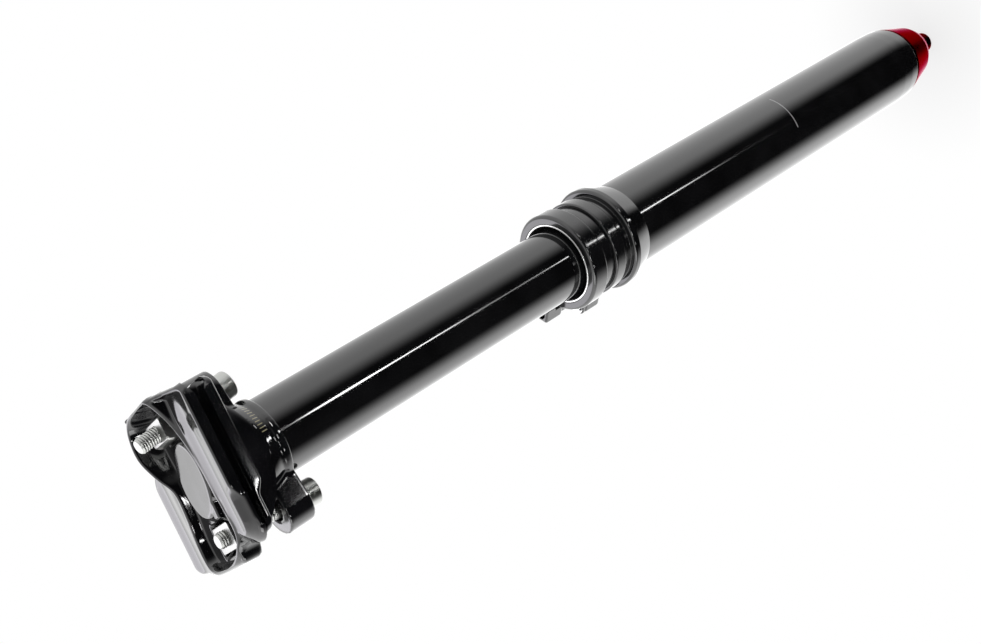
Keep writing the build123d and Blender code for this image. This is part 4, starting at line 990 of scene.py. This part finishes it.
def clamp_top(u, y, s):
    """Height of the upper clamp: the wings, the crest of the rim with a steep inner and outer side, the
    floor within it, webs from the nose's corners to the wings' tips, the nuts' seats and rounded ends."""
    side = np.abs(y)
    base = wing_top(u, y)
    away, crest, inside = to_line(u, y, rim_line, True)
    out = np.where(inside, 0.0, np.clip(away - 0.9, 0.0, None))
    inn = np.where(inside, np.clip(away - 0.7, 0.0, None), 0.0)
    steep = 5.0 - 4.3 * smoother(-np.abs(u - 0.5), -11.0, -7.0) * smoother(-y, 1.0, 5.0)
    crest_level = crest - 2.6 * out - steep * inn - 0.55 * (np.clip(away, 0.0, 0.9) / 0.9) ** 2
    top = higher(higher(bowl_floor(u, y), base - 5.0 * inn, 0.5), crest_level, 0.5)
    for hand in (-1.0, 1.0):
        web = np.array([(25.4, hand * 9.8, 9.8), (24.6, hand * 16.5, 6.9), (23.4, hand * 23.8, 4.9)])
        far, level, _ = to_line(u, y, web, False)
        top = higher(top, level - 3.4 * np.clip(far - 0.6, 0.0, None), 0.4)
    for hand, rise, reach in ((-1, front_nut_rise, 5.3), (1, rear_nut_rise, 4.9)):
        from_nut = u - hand * nut_reach
        groove = np.maximum(rise - np.sqrt(np.clip(reach**2 - from_nut**2, 0.0, None)), rise - 4.2)
        within = (np.abs(from_nut) < reach) & (side < 6.9) & (top < nut_level)
        top = np.where(within, np.minimum(top, groove), top)
    rolled = smoother(u, 6.0, 13.0) * (y > 0)
    tip = np.where(side > 14.5, 1.5 + 3.0 * rolled, 1.2)
    return top - rounded_off(s, side, 26.0, tip, 0.7 + 2.6 * rolled)


def clamp_under(u, y, s):
    """Underside of the upper clamp: the jaw faces with their rail grooves, and the lower middle, kept a
    little below the top where both run out at the wings' tips."""
    side = np.abs(y)
    under = np.maximum(np.where(side < 13.9, -1.5, 0.4), np.where(side > 14.0, rail_groove(y), -9.0))
    under = under + rounded_off(s, side, 26.0, np.where(side > 14.0, 2.0, 1.2), 0.3)
    return np.minimum(under, clamp_top(u, y, s) - 0.25)


clamp_half_length, ball_u, ball_y, lobe_radius = 26.3, 16.2, 18.8, 7.2
bowl_level, pad_turn, rear_nut_rise, front_nut_rise = 1.9, math.radians(-16.0), 4.2, 3.0
# The rim's crest, as (u, y, height): near side, front end, far side, rear end
rim_marks = np.array([
    (25.5, -10.1, 10.0), (15.7, -11.4, 6.2), (2.8, -13.6, 4.9), (-8.0, -14.2, 4.9), (-18.6, -14.9, 5.1),
    (-24.4, -8.0, 5.8), (-25.5, 2.5, 5.8), (-23.4, 12.6, 5.4), (-15.5, 14.2, 5.1), (-7.0, 12.2, 5.1),
    (1.0, 11.0, 5.6), (7.0, 12.2, 8.0), (14.0, 13.2, 10.0), (20.8, 12.2, 10.0), (24.6, 7.6, 10.0), (25.6, 0.0, 10.0),
])
rim_line = spline_loop(rim_marks, 8)
rim_line[-8:, 0] = np.minimum(rim_line[-8:, 0], 25.7)
s_grid, y_grid = jaw_grid(end_keys, 0.0082, [jaw_half_width, 24.5, 18.5, 14.2, 13.6], 0.2)
upper = sheet(clamp_plan, clamp_top, s_grid, y_grid)
upper[..., 2] = calmed(upper[..., 2], 8)
lower = sheet(clamp_plan, clamp_under, s_grid[::2, ::2], y_grid[::2, ::2])
lower[..., 2] = np.minimum(lower[..., 2], upper[::2, ::2, 2] - 0.2)
clamp = plate(upper, lower, jaw_frame)
fused("saddle_clamp_upper", [clamp], [], forged_black, "clamp", "upper_clamp", 38.0)


# Barrel nuts
# Two steel bars across the clamp's bowls, each tapped for a bolt and milled flat on top, zinc plated.
satin_steel = finish(
    "satin_plated_steel", (0.4, 0.405, 0.39), 1.0, 0.34, turned_grain, 2600.0, 0.000002, 0.06, edge=0.0002,
    shade=0.06,
)
# Half of a bar from its end's middle to its own, as places across and radii
bar_across = np.array([6.0, 6.0, 5.75, 5.5, 4.0, 0.0])
bar_radii = np.array([0.001, 3.5, 3.85, 4.0, 4.0, 4.0])
bar_across = np.append(-bar_across, bar_across[-2::-1])[:, None]
bar_radii = np.append(bar_radii, bar_radii[-2::-1])[:, None]
for name, hand, nut_rise, flat_top in (("rear", 1, rear_nut_rise, 2.4), ("front", -1, front_nut_rise, -0.7)):
    nut_u = hand * nut_reach + bar_radii * np.cos(turns)
    nut_h = nut_rise + np.minimum(bar_radii * np.sin(turns), flat_top)
    bar = moved(rings_shell(np.stack([nut_u, bar_across + 0 * turns, nut_h], -1)), jaw_frame)
    fused(f"{name}_nut_bar", [bar], [], satin_steel, f"{name}_nut", f"{name}_barrel_nut")


# Washers
# Steel washers with a spherical seat in each ear, so that a bolt can lean as the clamp tips.
dress("rear_washer", satin_steel)
dress("front_washer", satin_steel)


# Bolts
# Two M5 socket screws of zinc-plated steel, run up from the ears through both forgings into the nuts;
# the thread is a ridge whose phase turns once per pitch.
bolt_radius, thread_pitch, thread_depth, thread_start, thread_end = 2.5, 0.8, 0.32, 13.0, 30.45
# Profile as (radius, height above the ball's middle): the socket's floor and mouth, the head, the shank
head_marks = np.array([
    (0.0, 0.1), (2.0, 0.1), (2.0, 0.0), (2.0, -2.1), (2.25, -2.5), (3.75, -2.5), (4.1, -2.37), (4.25, -2.0),
    (4.25, 2.3), (4.1, 2.5), (2.7, 2.5), (bolt_radius, 2.7), (bolt_radius, 12.0),
])
socket_rows, half_flats = slice(1, 4), 2.0
pitch_rows = np.arange(thread_start, thread_end, thread_pitch / 6)
heights = np.concatenate([head_marks[:, 1], pitch_rows, [30.9, 31.0, 31.0]])[:, None]
radii = np.concatenate([head_marks[:, 0], np.full(len(pitch_rows), bolt_radius), [2.05, 1.95, 0.0]])[:, None]
wave = np.abs(((heights / thread_pitch - turns / (2 * np.pi)) % 1.0) - 0.5) * 2
threaded = (heights >= thread_start) & (heights < thread_end)
radii = np.where(threaded, radii - thread_depth * wave, radii)
radii[socket_rows] = half_flats / np.cos((turns + np.pi / 6) % (np.pi / 3) - np.pi / 6)
for name, hand, reach, height in bolt_seats:
    screw = moved(stacked(np.maximum(radii, 0.001), heights, turns), bolt_place(hand, reach, height))
    fused(f"{name}_socket_screw", [screw], [], satin_steel, f"{name}_screw", f"{name}_bolt")
